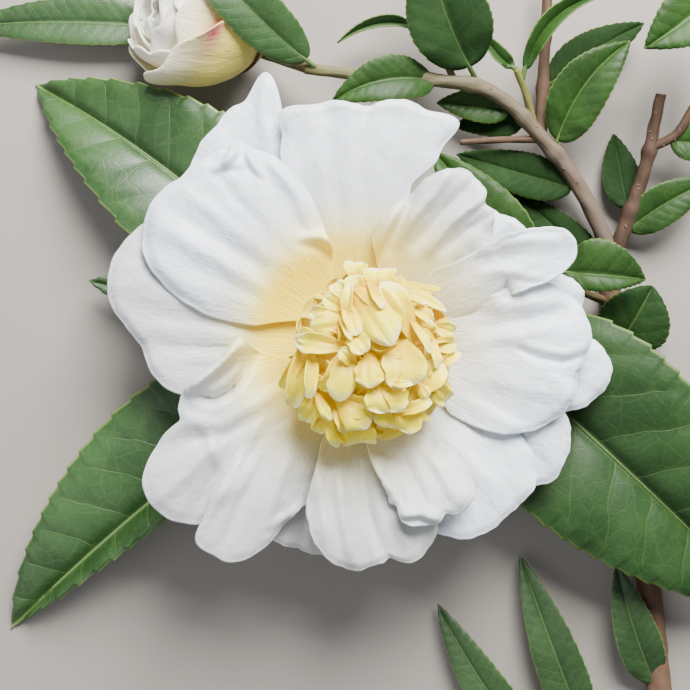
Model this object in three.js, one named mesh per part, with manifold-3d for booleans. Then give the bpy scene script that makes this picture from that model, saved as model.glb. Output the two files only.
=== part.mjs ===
// A cut camellia branch in bloom, lying on a table with its open flower facing up.
// Millimetres, +Z up. The flower's axis is drawn at x = y = 0 and the table at z = 0;
// the finished group is then moved so that the origin is the middle of its footprint.
import * as THREE from "three";
import { mergeVertices } from "three/addons/utils/BufferGeometryUtils.js";
import Module from "manifold-3d";

const wasm = await Module();
wasm.setup();

// Driving dimensions of the flower.
const SEAT_GAP = 0.3;
const FOOT_RADIUS = 7.5;
const FOOT_HEIGHT = 12.5;
const FOOT_STEP = 1.3;
const RISE_HEIGHT = 9;
const RISE_LENGTH = 16;
const LEVEL_SPREAD = 0.9;
const PETAL_THICKNESS = 0.7;
const PETAL_RINGS = 3;
const PETAL_SEGMENTS = 18;
const DOME_RADIUS = 16.3;
const DOME_SHIFT = [1, -1.6];
const DOME_BOTTOM = 25;
const DOME_WIDEST = 31;
const DOME_TOP = 42;

// Driving dimensions of the leaves and stems.
const LEAF_THICKNESS = 0.7;
const STALK_HALF_WIDTH = 0.8;
const STALK_THICKNESS = 1.5;
const STEM_SIDES = 8;
const TWIG_SIDES = 6;
const LONG_BLADE = [0.03, 0.12, 0.25, 0.4, 0.55, 0.7, 0.84, 0.94, 0.99];
const SHORT_BLADE = [0.05, 0.2, 0.4, 0.62, 0.82, 0.98];

// Each petal: the direction it points in (degrees anticlockwise from +X), the distance of its
// middle from the flower's axis, its level in the spiral (0 is the back), how far its
// anticlockwise-trailing edge is lifted, and the reach of its rim from its middle: outward
// first, then every 45 degrees anticlockwise, with the inward reach left to the claw.
// A dent is [direction, depth, width] and a negative depth makes a lobe.
const PETALS = [
  { name: "petal_top", aim: 90, mid: 38, level: 1.6, twist: 0,
    reach: [8.2, 12.4, 16.3, 17, 0, 12, 14.3, 12.6], dents: [[66, -3.4, 12], [-73, -4.6, 11]] },
  { name: "petal_top_back", aim: 120, mid: 38, level: 0, twist: 0,
    reach: [15, 14.6, 13, 12, 0, 11, 10, 13.5], dents: [[-29, -8, 9]] },
  { name: "petal_upper_left", aim: 136, mid: 30, level: 2.6, twist: 0,
    reach: [18.3, 21.5, 18.1, 17, 0, 14, 13.7, 16.8], dents: [[-37, -1.4, 6], [4, 0.7, 7]] },
  { name: "petal_left", aim: 167, mid: 34, level: 1.2, twist: 0,
    reach: [17.5, 13.2, 17.3, 14, 0, 13, 17, 18.8], dents: [] },
  { name: "petal_lower_left", aim: 215, mid: 30, level: 3, twist: 2.3,
    reach: [20.9, 17.4, 13, 12, 0, 16, 14, 12.4], dents: [[-126, -3.2, 8], [-50, 1, 7]] },
  { name: "petal_bottom_left", aim: 236, mid: 32, level: 3.4, twist: 2.4,
    reach: [17, 8.6, 7.2, 9, 0, 12.5, 9.2, 11.5], dents: [[-20, -2.2, 10]] },
  { name: "petal_bottom_back", aim: 251, mid: 34, level: 0, twist: 0,
    reach: [8.3, 10, 11, 11, 0, 11, 11, 10], dents: [] },
  { name: "petal_bottom", aim: 273, mid: 32, level: 3.8, twist: 1.5,
    reach: [9.4, 12.2, 12, 12, 0, 12.6, 12.2, 12], dents: [[16, 1.4, 8], [-22, -1, 13]] },
  { name: "petal_front", aim: 293, mid: 26, level: 5, twist: 1.2,
    reach: [10, 10.8, 7.8, 7.6, 0, 10.5, 7.2, 9.6], dents: [[8, 1, 7], [-58, 1.3, 7]] },
  { name: "petal_lower_right", aim: 310, mid: 32, level: 2, twist: 0,
    reach: [10.7, 12.4, 11.6, 11.5, 0, 12, 13.8, 12.8], dents: [] },
  { name: "petal_right_low_back", aim: 332, mid: 34, level: 1, twist: 0,
    reach: [10.6, 9.3, 9, 9, 0, 9, 10, 11.8], dents: [[-31, -0.7, 10]] },
  { name: "petal_right", aim: 353, mid: 32, level: 3, twist: 0,
    reach: [9.2, 13.6, 16, 16, 0, 17, 12.9, 10.6], dents: [] },
  { name: "petal_right_back", aim: 354, mid: 38, level: 0, twist: 0,
    reach: [10.6, 8.6, 8.5, 9, 0, 9, 9, 9.7], dents: [] },
  { name: "petal_right_mid_back", aim: 13, mid: 36, level: 1, twist: 0,
    reach: [7.6, 6.6, 7, 8, 0, 8, 6.5, 6], dents: [] },
  { name: "petal_upper_right", aim: 26, mid: 30, level: 4, twist: 0,
    reach: [13.9, 9, 7.1, 9.5, 0, 4.6, 3.6, 5.6], dents: [] },
  { name: "petal_upper_right_back", aim: 44, mid: 30, level: 0, twist: 0,
    reach: [7.2, 7, 8, 9, 0, 9, 10, 11], dents: [] },
  { name: "petal_upper_ruffled", aim: 55, mid: 28, level: 3, twist: 0,
    reach: [10, 10.3, 9.8, 15.5, 0, 9, 8.8, 8.4], dents: [[-22, 1.5, 8], [21, -0.9, 10]] },
];

// Each stem: the points of its middle line and its radius at both ends.
const STEMS = [
  { name: "stem_main", radii: [2.6, 2.2], carriers: [],
    path: [[63.5, -82, 2.6], [62, -63, 2.6], [58.8, -37, 2.5], [55, -12, 2.4], [52.8, 7, 2.3], [52.5, 20, 2.9]] },
  { name: "stem_bloom_shoot", radii: [2, 2.2], carriers: ["stem_main"],
    path: [[54.8, -9, 2], [39, 1.5, 2], [22, 4.5, 2], [8, 2.5, 2.1], [-4.5, 0, 2.2]] },
  { name: "stem_left_fork", radii: [1.8, 1.1], carriers: ["stem_main"],
    path: [[52.4, 19.5, 3], [47.6, 29.5, 4.6], [42.1, 37.7, 6.2], [36.6, 43.7, 7.6], [30.2, 49.8, 9],
      [23.8, 53.3, 10], [15.1, 54.4, 10.5], [3.2, 55.3, 10.5], [-12.3, 56.9, 10.5]] },
  { name: "stem_right_fork", radii: [1.7, 1.1], carriers: ["stem_main", "stem_left_fork"],
    path: [[53.2, 19, 3], [57.3, 31.5, 5.5], [59.5, 40.6, 7.6], [60.2, 45.6, 8.6], [61.2, 51.8, 10]] },
  { name: "stem_side_twig", radii: [1, 0.8], carriers: ["stem_right_fork"],
    path: [[59.6, 41, 7.8], [64.4, 43.5, 9], [67.3, 48, 10], [70.5, 55, 12], [72, 65, 15], [72, 74, 18]] },
  { name: "stem_back_twig", radii: [1.3, 1], carriers: ["stem_left_fork"],
    path: [[36.8, 43.6, 7.4], [37.3, 51, 6.4], [37.8, 60, 6], [38.4, 72, 6], [38.7, 79, 6]] },
  { name: "stem_bud_twig", radii: [0.9, 0.7], carriers: ["stem_left_fork"],
    path: [[35.4, 44.8, 8], [33.5, 51.2, 10], [30.9, 56.4, 12.5]] },
  { name: "stem_bare_twig", radii: [0.8, 0.6], carriers: ["stem_left_fork"],
    path: [[37.2, 43, 7.2], [28.2, 42.9, 7], [20, 42.4, 7]] },
  { name: "stem_leaf_twig", radii: [0.8, 0.6], carriers: ["stem_left_fork"],
    path: [[18.6, 54.2, 10], [16.5, 60, 8], [13, 65.6, 7]] },
  { name: "stem_cupped_shoot", radii: [1.1, 1], carriers: ["stem_left_fork"],
    path: [[-11.6, 56.9, 10.4], [-18, 60, 6.5], [-26, 63.5, 3.4], [-36, 67, 2.7]] },
  { name: "stem_short_twig", radii: [0.9, 0.7], carriers: ["stem_main"],
    path: [[52.8, 9, 2.3], [46, 11, 6], [40.5, 13.4, 10], [39.5, 15, 12.2]] },
  { name: "stem_low_twig", radii: [1, 0.9], carriers: ["stem_main"],
    path: [[63.5, -78, 2.6], [56, -84, 1.4], [48, -87, 1.2], [38, -89, 1.2]] },
];

// Each leaf: foot and tip, half width to the left and right of the midrib, how steeply each
// half rises, height of the arch, sideways bow, and the share of its length that is stalk.
const LEAVES = [
  { name: "leaf_upper_left", on: "stem_bloom_shoot", foot: [-3, 1.2, 2.4], tip: [-70.5, 56, 0.1],
    half: [16, 17], lift: [0.05, 0.05], arch: 9, bow: -3.4, stalk: 0.13 },
  { name: "leaf_lower_left", on: "stem_bloom_shoot", foot: [-3, -1, 2.4], tip: [-75.9, -60.9, 0.1],
    half: [5.2, 19], lift: [0.9, 0.05], arch: 8, bow: -2, stalk: 0.13 },
  { name: "leaf_left", on: "stem_bloom_shoot", foot: [-4, 0.2, 2.2], tip: [-57.6, 13.5, 7],
    half: [6, 6], lift: [0.1, 0.1], arch: -0.5, bow: 0, stalk: 0.3 },
  { name: "leaf_right", on: "stem_bloom_shoot", foot: [20.9, 5, 3], tip: [83.5, -54, 6.5],
    half: [20.6, 20], lift: [0.08, 0.08], arch: 9, bow: 0, stalk: 0.05 },
  { name: "leaf_fork_long", on: "stem_bloom_shoot", foot: [33.5, 3, 2.2], tip: [14.5, 40.2, 8],
    half: [8, 9], lift: [0.1, 0.1], arch: 2, bow: -2.5, stalk: 0.1 },
  { name: "leaf_fork_dark", on: "stem_main", foot: [52.6, 13.5, 2.2], tip: [32.1, 32.6, 2],
    half: [6, 4], lift: [0, 0], arch: -0.7, bow: -0.6, stalk: 0.1 },
  { name: "leaf_under_fork", on: "stem_left_fork", foot: [45.6, 32.6, 5.2], tip: [19.8, 40.5, 3.4],
    half: [4.6, 4.6], lift: [0.05, 0.05], arch: -0.6, bow: 0, stalk: 0.08 },
  { name: "leaf_node_light", on: "stem_left_fork", foot: [15.1, 54.2, 10.5], tip: [-6.7, 49.2, 14.5],
    half: [4.6, 4.6], lift: [0.15, 0.15], arch: 2, bow: -2, stalk: 0.06 },
  { name: "leaf_node_dark", on: "stem_left_fork", foot: [23.4, 54, 10.2], tip: [12.6, 81, 16],
    half: [8.3, 8.3], lift: [0.1, 0.1], arch: 3, bow: 2, stalk: 0.13 },
  { name: "leaf_edge_on", on: "stem_leaf_twig", foot: [12.6, 65.8, 7.2], tip: [-5.6, 63.5, 6],
    half: [1.2, 1.2], lift: [1.6, 1.6], arch: 1, bow: -2.4, stalk: 0.12 },
  { name: "leaf_inner_light", on: "stem_left_fork", foot: [31.5, 48.4, 8.6], tip: [15.4, 51, 5.6],
    half: [3.6, 3.6], lift: [0.1, 0.1], arch: -0.6, bow: -0.6, stalk: 0.1 },
  { name: "leaf_inner_dark", on: "stem_left_fork", foot: [34.2, 46, 7.4], tip: [19.4, 46.6, 3],
    half: [3.3, 3.3], lift: [0.1, 0.1], arch: -0.8, bow: -1, stalk: 0.1 },
  { name: "leaf_fork_tall", on: "stem_left_fork", foot: [39.6, 40.6, 7.2], tip: [53.7, 61.6, 14],
    half: [5.6, 5.6], lift: [0.15, 0.15], arch: 2, bow: 2.6, stalk: 0.09 },
  { name: "leaf_behind_fork", on: "stem_back_twig", foot: [37.5, 53.5, 6.3], tip: [58.7, 67.6, 6],
    half: [4.6, 4.6], lift: [0.05, 0.05], arch: -1, bow: 1, stalk: 0.1 },
  { name: "leaf_bud_long", on: "stem_bud_twig", foot: [32.2, 53.9, 11.3], tip: [49.7, 71, 14.5],
    half: [1.9, 1.9], lift: [0.9, 0.9], arch: 2, bow: 4.5, stalk: 0.1 },
  { name: "leaf_bud_short", on: "stem_bud_twig", foot: [30.9, 56.3, 12.3], tip: [24.6, 64, 10.6],
    half: [1.5, 1.5], lift: [0.8, 0.8], arch: 0.4, bow: 0.8, stalk: 0.1 },
  { name: "leaf_corner", on: "stem_side_twig", foot: [72, 73, 17.7], tip: [55.1, 58.6, 20.5],
    half: [6.4, 6.4], lift: [0.12, 0.12], arch: 1.5, bow: 1, stalk: 0.1 },
  { name: "leaf_right_fork", on: "stem_right_fork", foot: [54.6, 23.4, 3.9], tip: [73, 34.5, 8],
    half: [4.2, 4.2], lift: [0.1, 0.1], arch: 1, bow: 1, stalk: 0.1 },
  { name: "leaf_serrated_short", on: "stem_short_twig", foot: [39.6, 15, 11.9], tip: [55.4, 16.4, 14],
    half: [5, 5.4], lift: [0.1, 0.1], arch: 2, bow: 0, stalk: 0.08 },
  { name: "leaf_under_right", on: "stem_main", foot: [53.6, -1, 2.5], tip: [60.6, 12.4, 6],
    half: [7.4, 7.6], lift: [0.1, 0.1], arch: 1.4, bow: 0, stalk: 0.1 },
  { name: "leaf_behind_right", on: "stem_right_fork", foot: [55.9, 27.6, 4.7], tip: [53.4, 45, 2],
    half: [4, 4], lift: [0.05, 0.05], arch: -0.6, bow: 0, stalk: 0.1 },
  { name: "leaf_twig_light", on: "stem_side_twig", foot: [62.6, 42.4, 8.6], tip: [76, 41.5, 7],
    half: [3.8, 3.8], lift: [0.1, 0.1], arch: 0.5, bow: 0, stalk: 0.1 },
  { name: "leaf_low_first", on: "stem_low_twig", foot: [38.6, -88.8, 1.3], tip: [15.8, -55.4, 2.4],
    half: [4.6, 4.6], lift: [0.1, 0.1], arch: 2, bow: 1.5, stalk: 0.1 },
  { name: "leaf_low_second", on: "stem_low_twig", foot: [49, -86.7, 1.3], tip: [33.2, -45, 3],
    half: [5, 5], lift: [0.1, 0.1], arch: 2.4, bow: 0.5, stalk: 0.1 },
  { name: "leaf_low_third", on: "stem_main", foot: [62.8, -74, 2.6], tip: [53, -46.5, 5.5],
    half: [4.6, 4.6], lift: [0.1, 0.1], arch: 2, bow: 1, stalk: 0.1 },
  { name: "leaf_cupped_bloom", on: "stem_left_fork", foot: [-9.6, 56.8, 10.7], tip: [-36, 82, 26],
    half: [5.4, 5.4], lift: [0.1, 0.1], arch: 4, bow: 2.5, stalk: 0.08 },
  { name: "leaf_far_left", on: "stem_cupped_shoot", foot: [-35.6, 66.9, 2.7], tip: [-86, 67.5, 3.5],
    half: [5, 5], lift: [0.1, 0.1], arch: 1.2, bow: -1.2, stalk: 0.14 },
];

const clamp = (value, low, high) => Math.min(Math.max(value, low), high);
const smooth = (value) => {
  const t = clamp(value, 0, 1);
  return t * t * (3 - 2 * t);
};
const radians = THREE.MathUtils.degToRad;

// Joins closed loops of the same length into one closed body, with a fan over each end.
function loft(loops, firstApex, lastApex) {
  const count = loops[0].length;
  const points = [firstApex, ...loops.flat(), lastApex];
  const last = points.length - 1;
  const faces = [];
  for (let j = 0; j < count; j += 1) {
    const next = (j + 1) % count;
    faces.push([0, 1 + next, 1 + j]);
    for (let i = 0; i + 1 < loops.length; i += 1) {
      const here = 1 + i * count;
      const there = here + count;
      faces.push([here + j, here + next, there + next], [here + j, there + next, there + j]);
    }
    const end = 1 + (loops.length - 1) * count;
    faces.push([last, end + j, end + next]);
  }
  const volume = faces.reduce((sum, [a, b, c]) => {
    const across = new THREE.Vector3().crossVectors(points[b], points[c]);
    return sum + points[a].dot(across);
  }, 0);
  const outward = volume > 0 ? faces : faces.map(([a, b, c]) => [a, c, b]);
  const geometry = new THREE.BufferGeometry();
  geometry.setAttribute("position", new THREE.Float32BufferAttribute(points.flatMap((p) => p.toArray()), 3));
  geometry.setIndex(outward.flat());
  geometry.computeVertexNormals();
  return geometry;
}

function toManifold(geometry) {
  const bare = geometry.clone();
  bare.deleteAttribute("normal");
  bare.deleteAttribute("uv");
  const welded = mergeVertices(bare, 1e-4);
  return new wasm.Manifold(new wasm.Mesh({
    numProp: 3,
    vertProperties: new Float32Array(welded.attributes.position.array),
    triVerts: new Uint32Array(welded.index.array),
  }));
}

// Cuts the carriers, swollen by the seat gap, out of a body and keeps the largest piece.
function trim(geometry, swollen) {
  let body = toManifold(geometry);
  swollen.forEach((carrier) => {
    body = body.subtract(toManifold(carrier));
  });
  const pieces = body.decompose();
  const largest = pieces.reduce((best, piece) => (piece.volume() > best.volume() ? piece : best));
  const mesh = largest.getMesh();
  const result = new THREE.BufferGeometry();
  result.setAttribute("position", new THREE.Float32BufferAttribute(mesh.vertProperties, 3));
  result.setIndex(new THREE.Uint32BufferAttribute(mesh.triVerts, 1));
  result.computeVertexNormals();
  return result;
}

// The rim's reach in a direction, smoothly through the eight stated ones.
function rimReach(petal, direction) {
  const inward = petal.mid - FOOT_RADIUS;
  const reach = petal.reach.map((value) => (value === 0 ? inward : value));
  const turn = THREE.MathUtils.euclideanModulo(direction, 360) / 45;
  const i = Math.floor(turn);
  const t = turn - i;
  const [a, b, c, d] = [i + 7, i, i + 1, i + 2].map((k) => reach[k % 8]);
  const body = b + 0.5 * t * (c - a + t * (2 * a - 5 * b + 4 * c - d + t * (3 * (b - c) + d - a)));
  const dented = petal.dents.reduce((sum, [at, depth, width]) => {
    const off = THREE.MathUtils.euclideanModulo(direction - at + 180, 360) - 180;
    return sum - depth * Math.exp(-((off / width) ** 2));
  }, body);
  return Math.max(dented, 2);
}

// Height of a petal's middle surface, for a point at some distance from the flower's axis.
function petalHeight(petal, distance, acrossShare) {
  const rise = RISE_HEIGHT * (1 - Math.exp(-Math.max(distance - FOOT_RADIUS, 0) / RISE_LENGTH));
  const spread = LEVEL_SPREAD * petal.level * smooth((distance - 8) / 30);
  const lifted = -petal.twist * acrossShare * smooth((distance - 9) / 18);
  return FOOT_HEIGHT + FOOT_STEP * petal.level + rise + spread + lifted;
}

function petalPoint(petal, direction, share) {
  const reach = rimReach(petal, direction) * share;
  const along = reach * Math.cos(radians(direction));
  const widest = Math.max(petal.reach[2], petal.reach[6]);
  const squeeze = clamp((petal.mid + along - 4) / 14, 0.25, 1);
  const across = reach * Math.sin(radians(direction)) * squeeze;
  const aim = radians(petal.aim);
  const x = (petal.mid + along) * Math.cos(aim) - across * Math.sin(aim);
  const y = (petal.mid + along) * Math.sin(aim) + across * Math.cos(aim);
  return new THREE.Vector3(x, y, petalHeight(petal, Math.hypot(x, y), across / widest));
}

function petalBody(petal) {
  const half = PETAL_THICKNESS / 2;
  const ring = (share, offset) => Array.from({ length: PETAL_SEGMENTS }, (_, k) => {
    const point = petalPoint(petal, (360 * k) / PETAL_SEGMENTS, share);
    point.z += offset;
    return point;
  });
  const shares = Array.from({ length: PETAL_RINGS }, (_, k) => (k + 1) / PETAL_RINGS);
  const loops = [
    ...shares.map((share) => ring(share, half)),
    ...shares.reverse().map((share) => ring(share, -half)),
  ];
  const middle = petalPoint(petal, 0, 0);
  const up = new THREE.Vector3(0, 0, half);
  return loft(loops, middle.clone().add(up), middle.clone().sub(up));
}

// A tapered round stem along a smooth path, closed by a flat cut at both ends.
function stemBody({ path, radii }, swelling = 0) {
  const curve = new THREE.CatmullRomCurve3(path.map((p) => new THREE.Vector3(...p)));
  const steps = (path.length - 1) * 2;
  const sides = radii[0] > 1.5 ? STEM_SIDES : TWIG_SIDES;
  const frames = curve.computeFrenetFrames(steps, false);
  const loops = Array.from({ length: steps + 1 }, (_, i) => {
    const centre = curve.getPointAt(i / steps);
    const radius = THREE.MathUtils.lerp(radii[0], radii[1], i / steps) + swelling;
    return Array.from({ length: sides }, (_unused, k) => {
      const turn = (2 * Math.PI * k) / sides;
      return centre.clone()
        .addScaledVector(frames.normals[i], radius * Math.cos(turn))
        .addScaledVector(frames.binormals[i], radius * Math.sin(turn));
    });
  });
  return loft(loops, curve.getPointAt(0), curve.getPointAt(1));
}

// Share of a blade's half width at a place along it: widest at a third, drawn out at the tip.
const bladeProfile = (u) => 2.313 * u ** 0.45 * (1 - u) ** 0.85;

function leafBody(leaf) {
  const foot = new THREE.Vector3(...leaf.foot);
  const run = new THREE.Vector3(...leaf.tip).sub(foot);
  const left = new THREE.Vector3(-run.y, run.x, 0).normalize();
  const blade = leaf.half[1] > 10 ? LONG_BLADE : SHORT_BLADE;
  const stations = [0, leaf.stalk, ...blade.map((u) => leaf.stalk + (1 - leaf.stalk) * u)];
  const centreAt = (t) => {
    const bulge = 4 * t * (1 - t);
    const point = foot.clone().addScaledVector(run, t).addScaledVector(left, leaf.bow * bulge);
    point.z += leaf.arch * bulge;
    return point;
  };
  const loops = stations.map((t) => {
    const centre = centreAt(t);
    const u = (t - leaf.stalk) / (1 - leaf.stalk);
    const share = u > 0 ? bladeProfile(u) : 0;
    const widths = leaf.half.map((half) => Math.max(half * share, u > 0.5 ? 0.2 : STALK_HALF_WIDTH));
    const mix = smooth(u / 0.2);
    const thick = THREE.MathUtils.lerp(STALK_THICKNESS, LEAF_THICKNESS, mix) / 2;
    const edge = (side, sign) => {
      const lift = leaf.lift[side] * mix;
      const width = widths[side] * (side === 0 ? 1 : -1);
      const point = centre.clone().addScaledVector(left, width);
      point.z += Math.abs(width) * lift + sign * (thick * 0.8) * Math.hypot(1, lift);
      return point;
    };
    const ridge = (sign) => centre.clone().add(new THREE.Vector3(0, 0, sign * thick));
    return [edge(0, 1), ridge(1), edge(1, 1), edge(1, -1), ridge(-1), edge(0, -1)];
  });
  return loft(loops, centreAt(0), centreAt(1));
}

// The cushion of petaloids in the flower's middle: a low dome with soft lumps on it.
function domeBody() {
  const rings = 11;
  const segments = 24;
  const loops = Array.from({ length: rings }, (_, i) => {
    const rise = -Math.PI / 2 + (Math.PI * (i + 1)) / (rings + 1);
    const height = Math.sin(rise) > 0 ? DOME_TOP - DOME_WIDEST : DOME_WIDEST - DOME_BOTTOM;
    return Array.from({ length: segments }, (_unused, k) => {
      const turn = (2 * Math.PI * k) / segments;
      const lump = 1 + 0.035 * Math.sin(5 * turn + 1) * Math.sin(6 * rise) + 0.03 * Math.sin(9 * turn);
      const radius = DOME_RADIUS * Math.cos(rise) ** 0.75 * (rise > 0 ? lump : 1);
      const z = DOME_WIDEST + height * Math.sin(rise);
      return new THREE.Vector3(radius * Math.cos(turn), radius * Math.sin(turn), z);
    });
  });
  const body = loft(loops, new THREE.Vector3(0, 0, DOME_BOTTOM), new THREE.Vector3(0, 0, DOME_TOP));
  return body.translate(DOME_SHIFT[0], DOME_SHIFT[1], 0);
}

function turned(profile, segments) {
  const points = profile.map(([radius, height]) => new THREE.Vector2(radius, height));
  return new THREE.LatheGeometry(points, segments).rotateX(Math.PI / 2);
}

// The second, half-open flower: a cupped head lying on its side over the end of its shoot.
function cuppedBloomBody() {
  const rings = 8;
  const segments = 14;
  const centre = new THREE.Vector3(-34, 67.4, 13.1);
  const loops = Array.from({ length: rings }, (_, i) => {
    const rise = -Math.PI / 2 + (Math.PI * (i + 1)) / (rings + 1);
    return Array.from({ length: segments }, (_unused, k) => {
      const turn = (2 * Math.PI * k) / segments;
      const lobe = 1 + 0.05 * Math.sin(5 * turn + 2 * rise);
      const flat = Math.cos(rise) * lobe;
      return new THREE.Vector3(14.4 * flat * Math.cos(turn), 14 * flat * Math.sin(turn), 9.6 * Math.sin(rise))
        .add(centre);
    });
  });
  const pole = new THREE.Vector3(0, 0, 9.6);
  return loft(loops, centre.clone().sub(pole), centre.clone().add(pole));
}

const COLOURS = {
  petal: new THREE.MeshStandardMaterial({ color: 0xf4f5fa, roughness: 0.55, metalness: 0 }),
  dome: new THREE.MeshStandardMaterial({ color: 0xf6e3a0, roughness: 0.6, metalness: 0 }),
  core: new THREE.MeshStandardMaterial({ color: 0xe2c05c, roughness: 0.7, metalness: 0 }),
  calyx: new THREE.MeshStandardMaterial({ color: 0x9aa763, roughness: 0.6, metalness: 0 }),
  stem: new THREE.MeshStandardMaterial({ color: 0x7d6852, roughness: 0.8, metalness: 0 }),
  leaf: new THREE.MeshStandardMaterial({ color: 0x2f5e2b, roughness: 0.4, metalness: 0 }),
};

const branch = new THREE.Group();

function add(name, geometry, material) {
  const mesh = new THREE.Mesh(geometry, material.clone());
  mesh.name = name;
  branch.add(mesh);
}

const stemsByName = Object.fromEntries(STEMS.map((stem) => [stem.name, stem]));
const swollenStem = (name) => stemBody(stemsByName[name], SEAT_GAP);

STEMS.forEach((stem) => {
  const body = stemBody(stem);
  add(stem.name, stem.carriers.length ? trim(body, stem.carriers.map(swollenStem)) : body, COLOURS.stem);
});
LEAVES.forEach((leaf) => add(leaf.name, trim(leafBody(leaf), [swollenStem(leaf.on)]), COLOURS.leaf));
PETALS.forEach((petal) => add(petal.name, petalBody(petal), COLOURS.petal));

add("calyx", turned([[0, 4.7], [3.2, 4.8], [6, 6.4], [8.4, 8.9], [8.2, 9.4], [0, 9.4]], 20), COLOURS.calyx);
add("receptacle", turned([[0, 9.7], [5.4, 9.8], [7.2, 11.4], [7.2, 20.6], [5.6, 22.4], [5.4, 24.7], [0, 24.7]], 24),
  COLOURS.core);
add("petaloid_dome", domeBody(), COLOURS.dome);
add("cupped_bloom", trim(cuppedBloomBody(), [swollenStem("stem_cupped_shoot")]), COLOURS.petal);

const footprint = new THREE.Box3().setFromObject(branch);
branch.position.set(
  -(footprint.min.x + footprint.max.x) / 2,
  -(footprint.min.y + footprint.max.y) / 2,
  -footprint.min.z,
);

export default branch;
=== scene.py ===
"""A cut branch of white camellia, lying with its open flower up: the detailed model.

Lengths inside the classes are the design's millimetres, measured from the flower's axis and
the surface below it. Workbench.place turns them into metres in the model's frame. Pixels are
places in the photograph's frame, from its upper left corner.
"""

import logging
import math
from dataclasses import dataclass, replace
from enum import Enum

import bpy
import numpy as np
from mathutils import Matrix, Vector


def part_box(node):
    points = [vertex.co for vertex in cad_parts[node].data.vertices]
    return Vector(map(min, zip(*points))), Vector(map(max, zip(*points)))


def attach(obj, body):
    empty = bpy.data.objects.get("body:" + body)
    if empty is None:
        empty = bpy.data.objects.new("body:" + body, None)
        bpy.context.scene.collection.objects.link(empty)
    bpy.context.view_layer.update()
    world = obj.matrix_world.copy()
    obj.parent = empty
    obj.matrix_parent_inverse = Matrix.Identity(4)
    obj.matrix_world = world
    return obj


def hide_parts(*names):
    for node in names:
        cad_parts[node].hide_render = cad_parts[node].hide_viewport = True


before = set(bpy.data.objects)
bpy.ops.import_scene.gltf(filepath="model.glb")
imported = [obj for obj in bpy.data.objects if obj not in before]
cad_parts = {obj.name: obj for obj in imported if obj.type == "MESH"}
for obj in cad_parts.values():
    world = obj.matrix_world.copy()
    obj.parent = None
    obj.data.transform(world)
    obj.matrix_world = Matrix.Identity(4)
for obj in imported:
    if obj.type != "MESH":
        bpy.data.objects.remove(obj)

log = logging.getLogger("camellia")
Grid = np.ndarray
Pixel = tuple[float, float]
Colour = tuple[float, float, float]
Spot = tuple[float, float, float]

BLACK: Colour = (0.0, 0.0, 0.0)
MM_PER_M = 1000.0
FULL_TURN = 6.28  # in radians, near enough for random phases and ripples
GOLDEN_TURN = math.pi * (3 - math.sqrt(5))
GOLDEN_DEGREES = 137.5
MAIN_BODY = "root"


def smooth(value: Grid) -> Grid:
    """Ease numbers from 0 to 1, flat at both ends and held beyond them."""
    held = np.clip(value, 0.0, 1.0)
    return held * held * (3.0 - 2.0 * held)


def unit(vectors: Grid) -> Grid:
    """Return vectors, along the last axis, with their length made one."""
    length = np.linalg.norm(vectors, axis=-1, keepdims=True)
    return vectors / np.maximum(length, 1e-9)


def linear(red: int, green: int, blue: int) -> Colour:
    """Return a screen colour of 0 to 255 as the renderer's linear light."""
    return tuple(c / 12.92 if c <= 0.04045 else ((c + 0.055) / 1.055) ** 2.4
                 for c in (red / 255, green / 255, blue / 255))


def hump(off: Grid, width: float | Grid) -> Grid:
    """Return 1 where a distance is 0, falling away to 0 beyond a width."""
    return np.exp(-(off / width) ** 2)


def polar(radius: Grid | float, angle: Grid, height: Grid) -> Grid:
    """Return points from their radii, bearings in radians and heights."""
    return np.stack([radius * np.cos(angle), radius * np.sin(angle), height], axis=-1)


def golden(count: int) -> tuple[Grid, Grid]:
    """Return some evenly spread shares from 0 to 1, and the golden spiral's bearings."""
    steps = np.arange(count)
    return (steps + 0.5) / count, GOLDEN_TURN * steps


# The frame and the eye


@dataclass(frozen=True)
class View:
    """The photograph's eye: straight above, and the spot that each of its pixels sees."""

    eye: Spot = (-4.05, 0.0, 235.0)
    focal: float = 1090.0
    half: float = 345.0

    def spot(self, pixel: Pixel, height: float) -> Grid:
        """Return the design point that a pixel sees at a height above the table."""
        scale = (self.eye[2] - height) / self.focal
        return np.array([self.eye[0] + (pixel[0] - self.half) * scale,
                         self.eye[1] + (self.half - pixel[1]) * scale, height])

    def pixels(self, points: Grid) -> Grid:
        """Return the columns and rows of the pixels that see some design points."""
        scale = self.focal / (self.eye[2] - points[..., 2])
        return np.stack([self.half + (points[..., 0] - self.eye[0]) * scale,
                         self.half - (points[..., 1] - self.eye[1]) * scale], axis=-1)


VIEW = View()


class Slot(Enum):
    """The record's material slots, one for each kind of new piece."""

    PETAL = "petal"
    CUPPED = "cupped_petal"
    PETALOID = "petaloid"
    CALYX = "calyx"
    LEAF = "leaf"
    YOUNG = "leaf_young"
    BARK = "bark"


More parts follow.
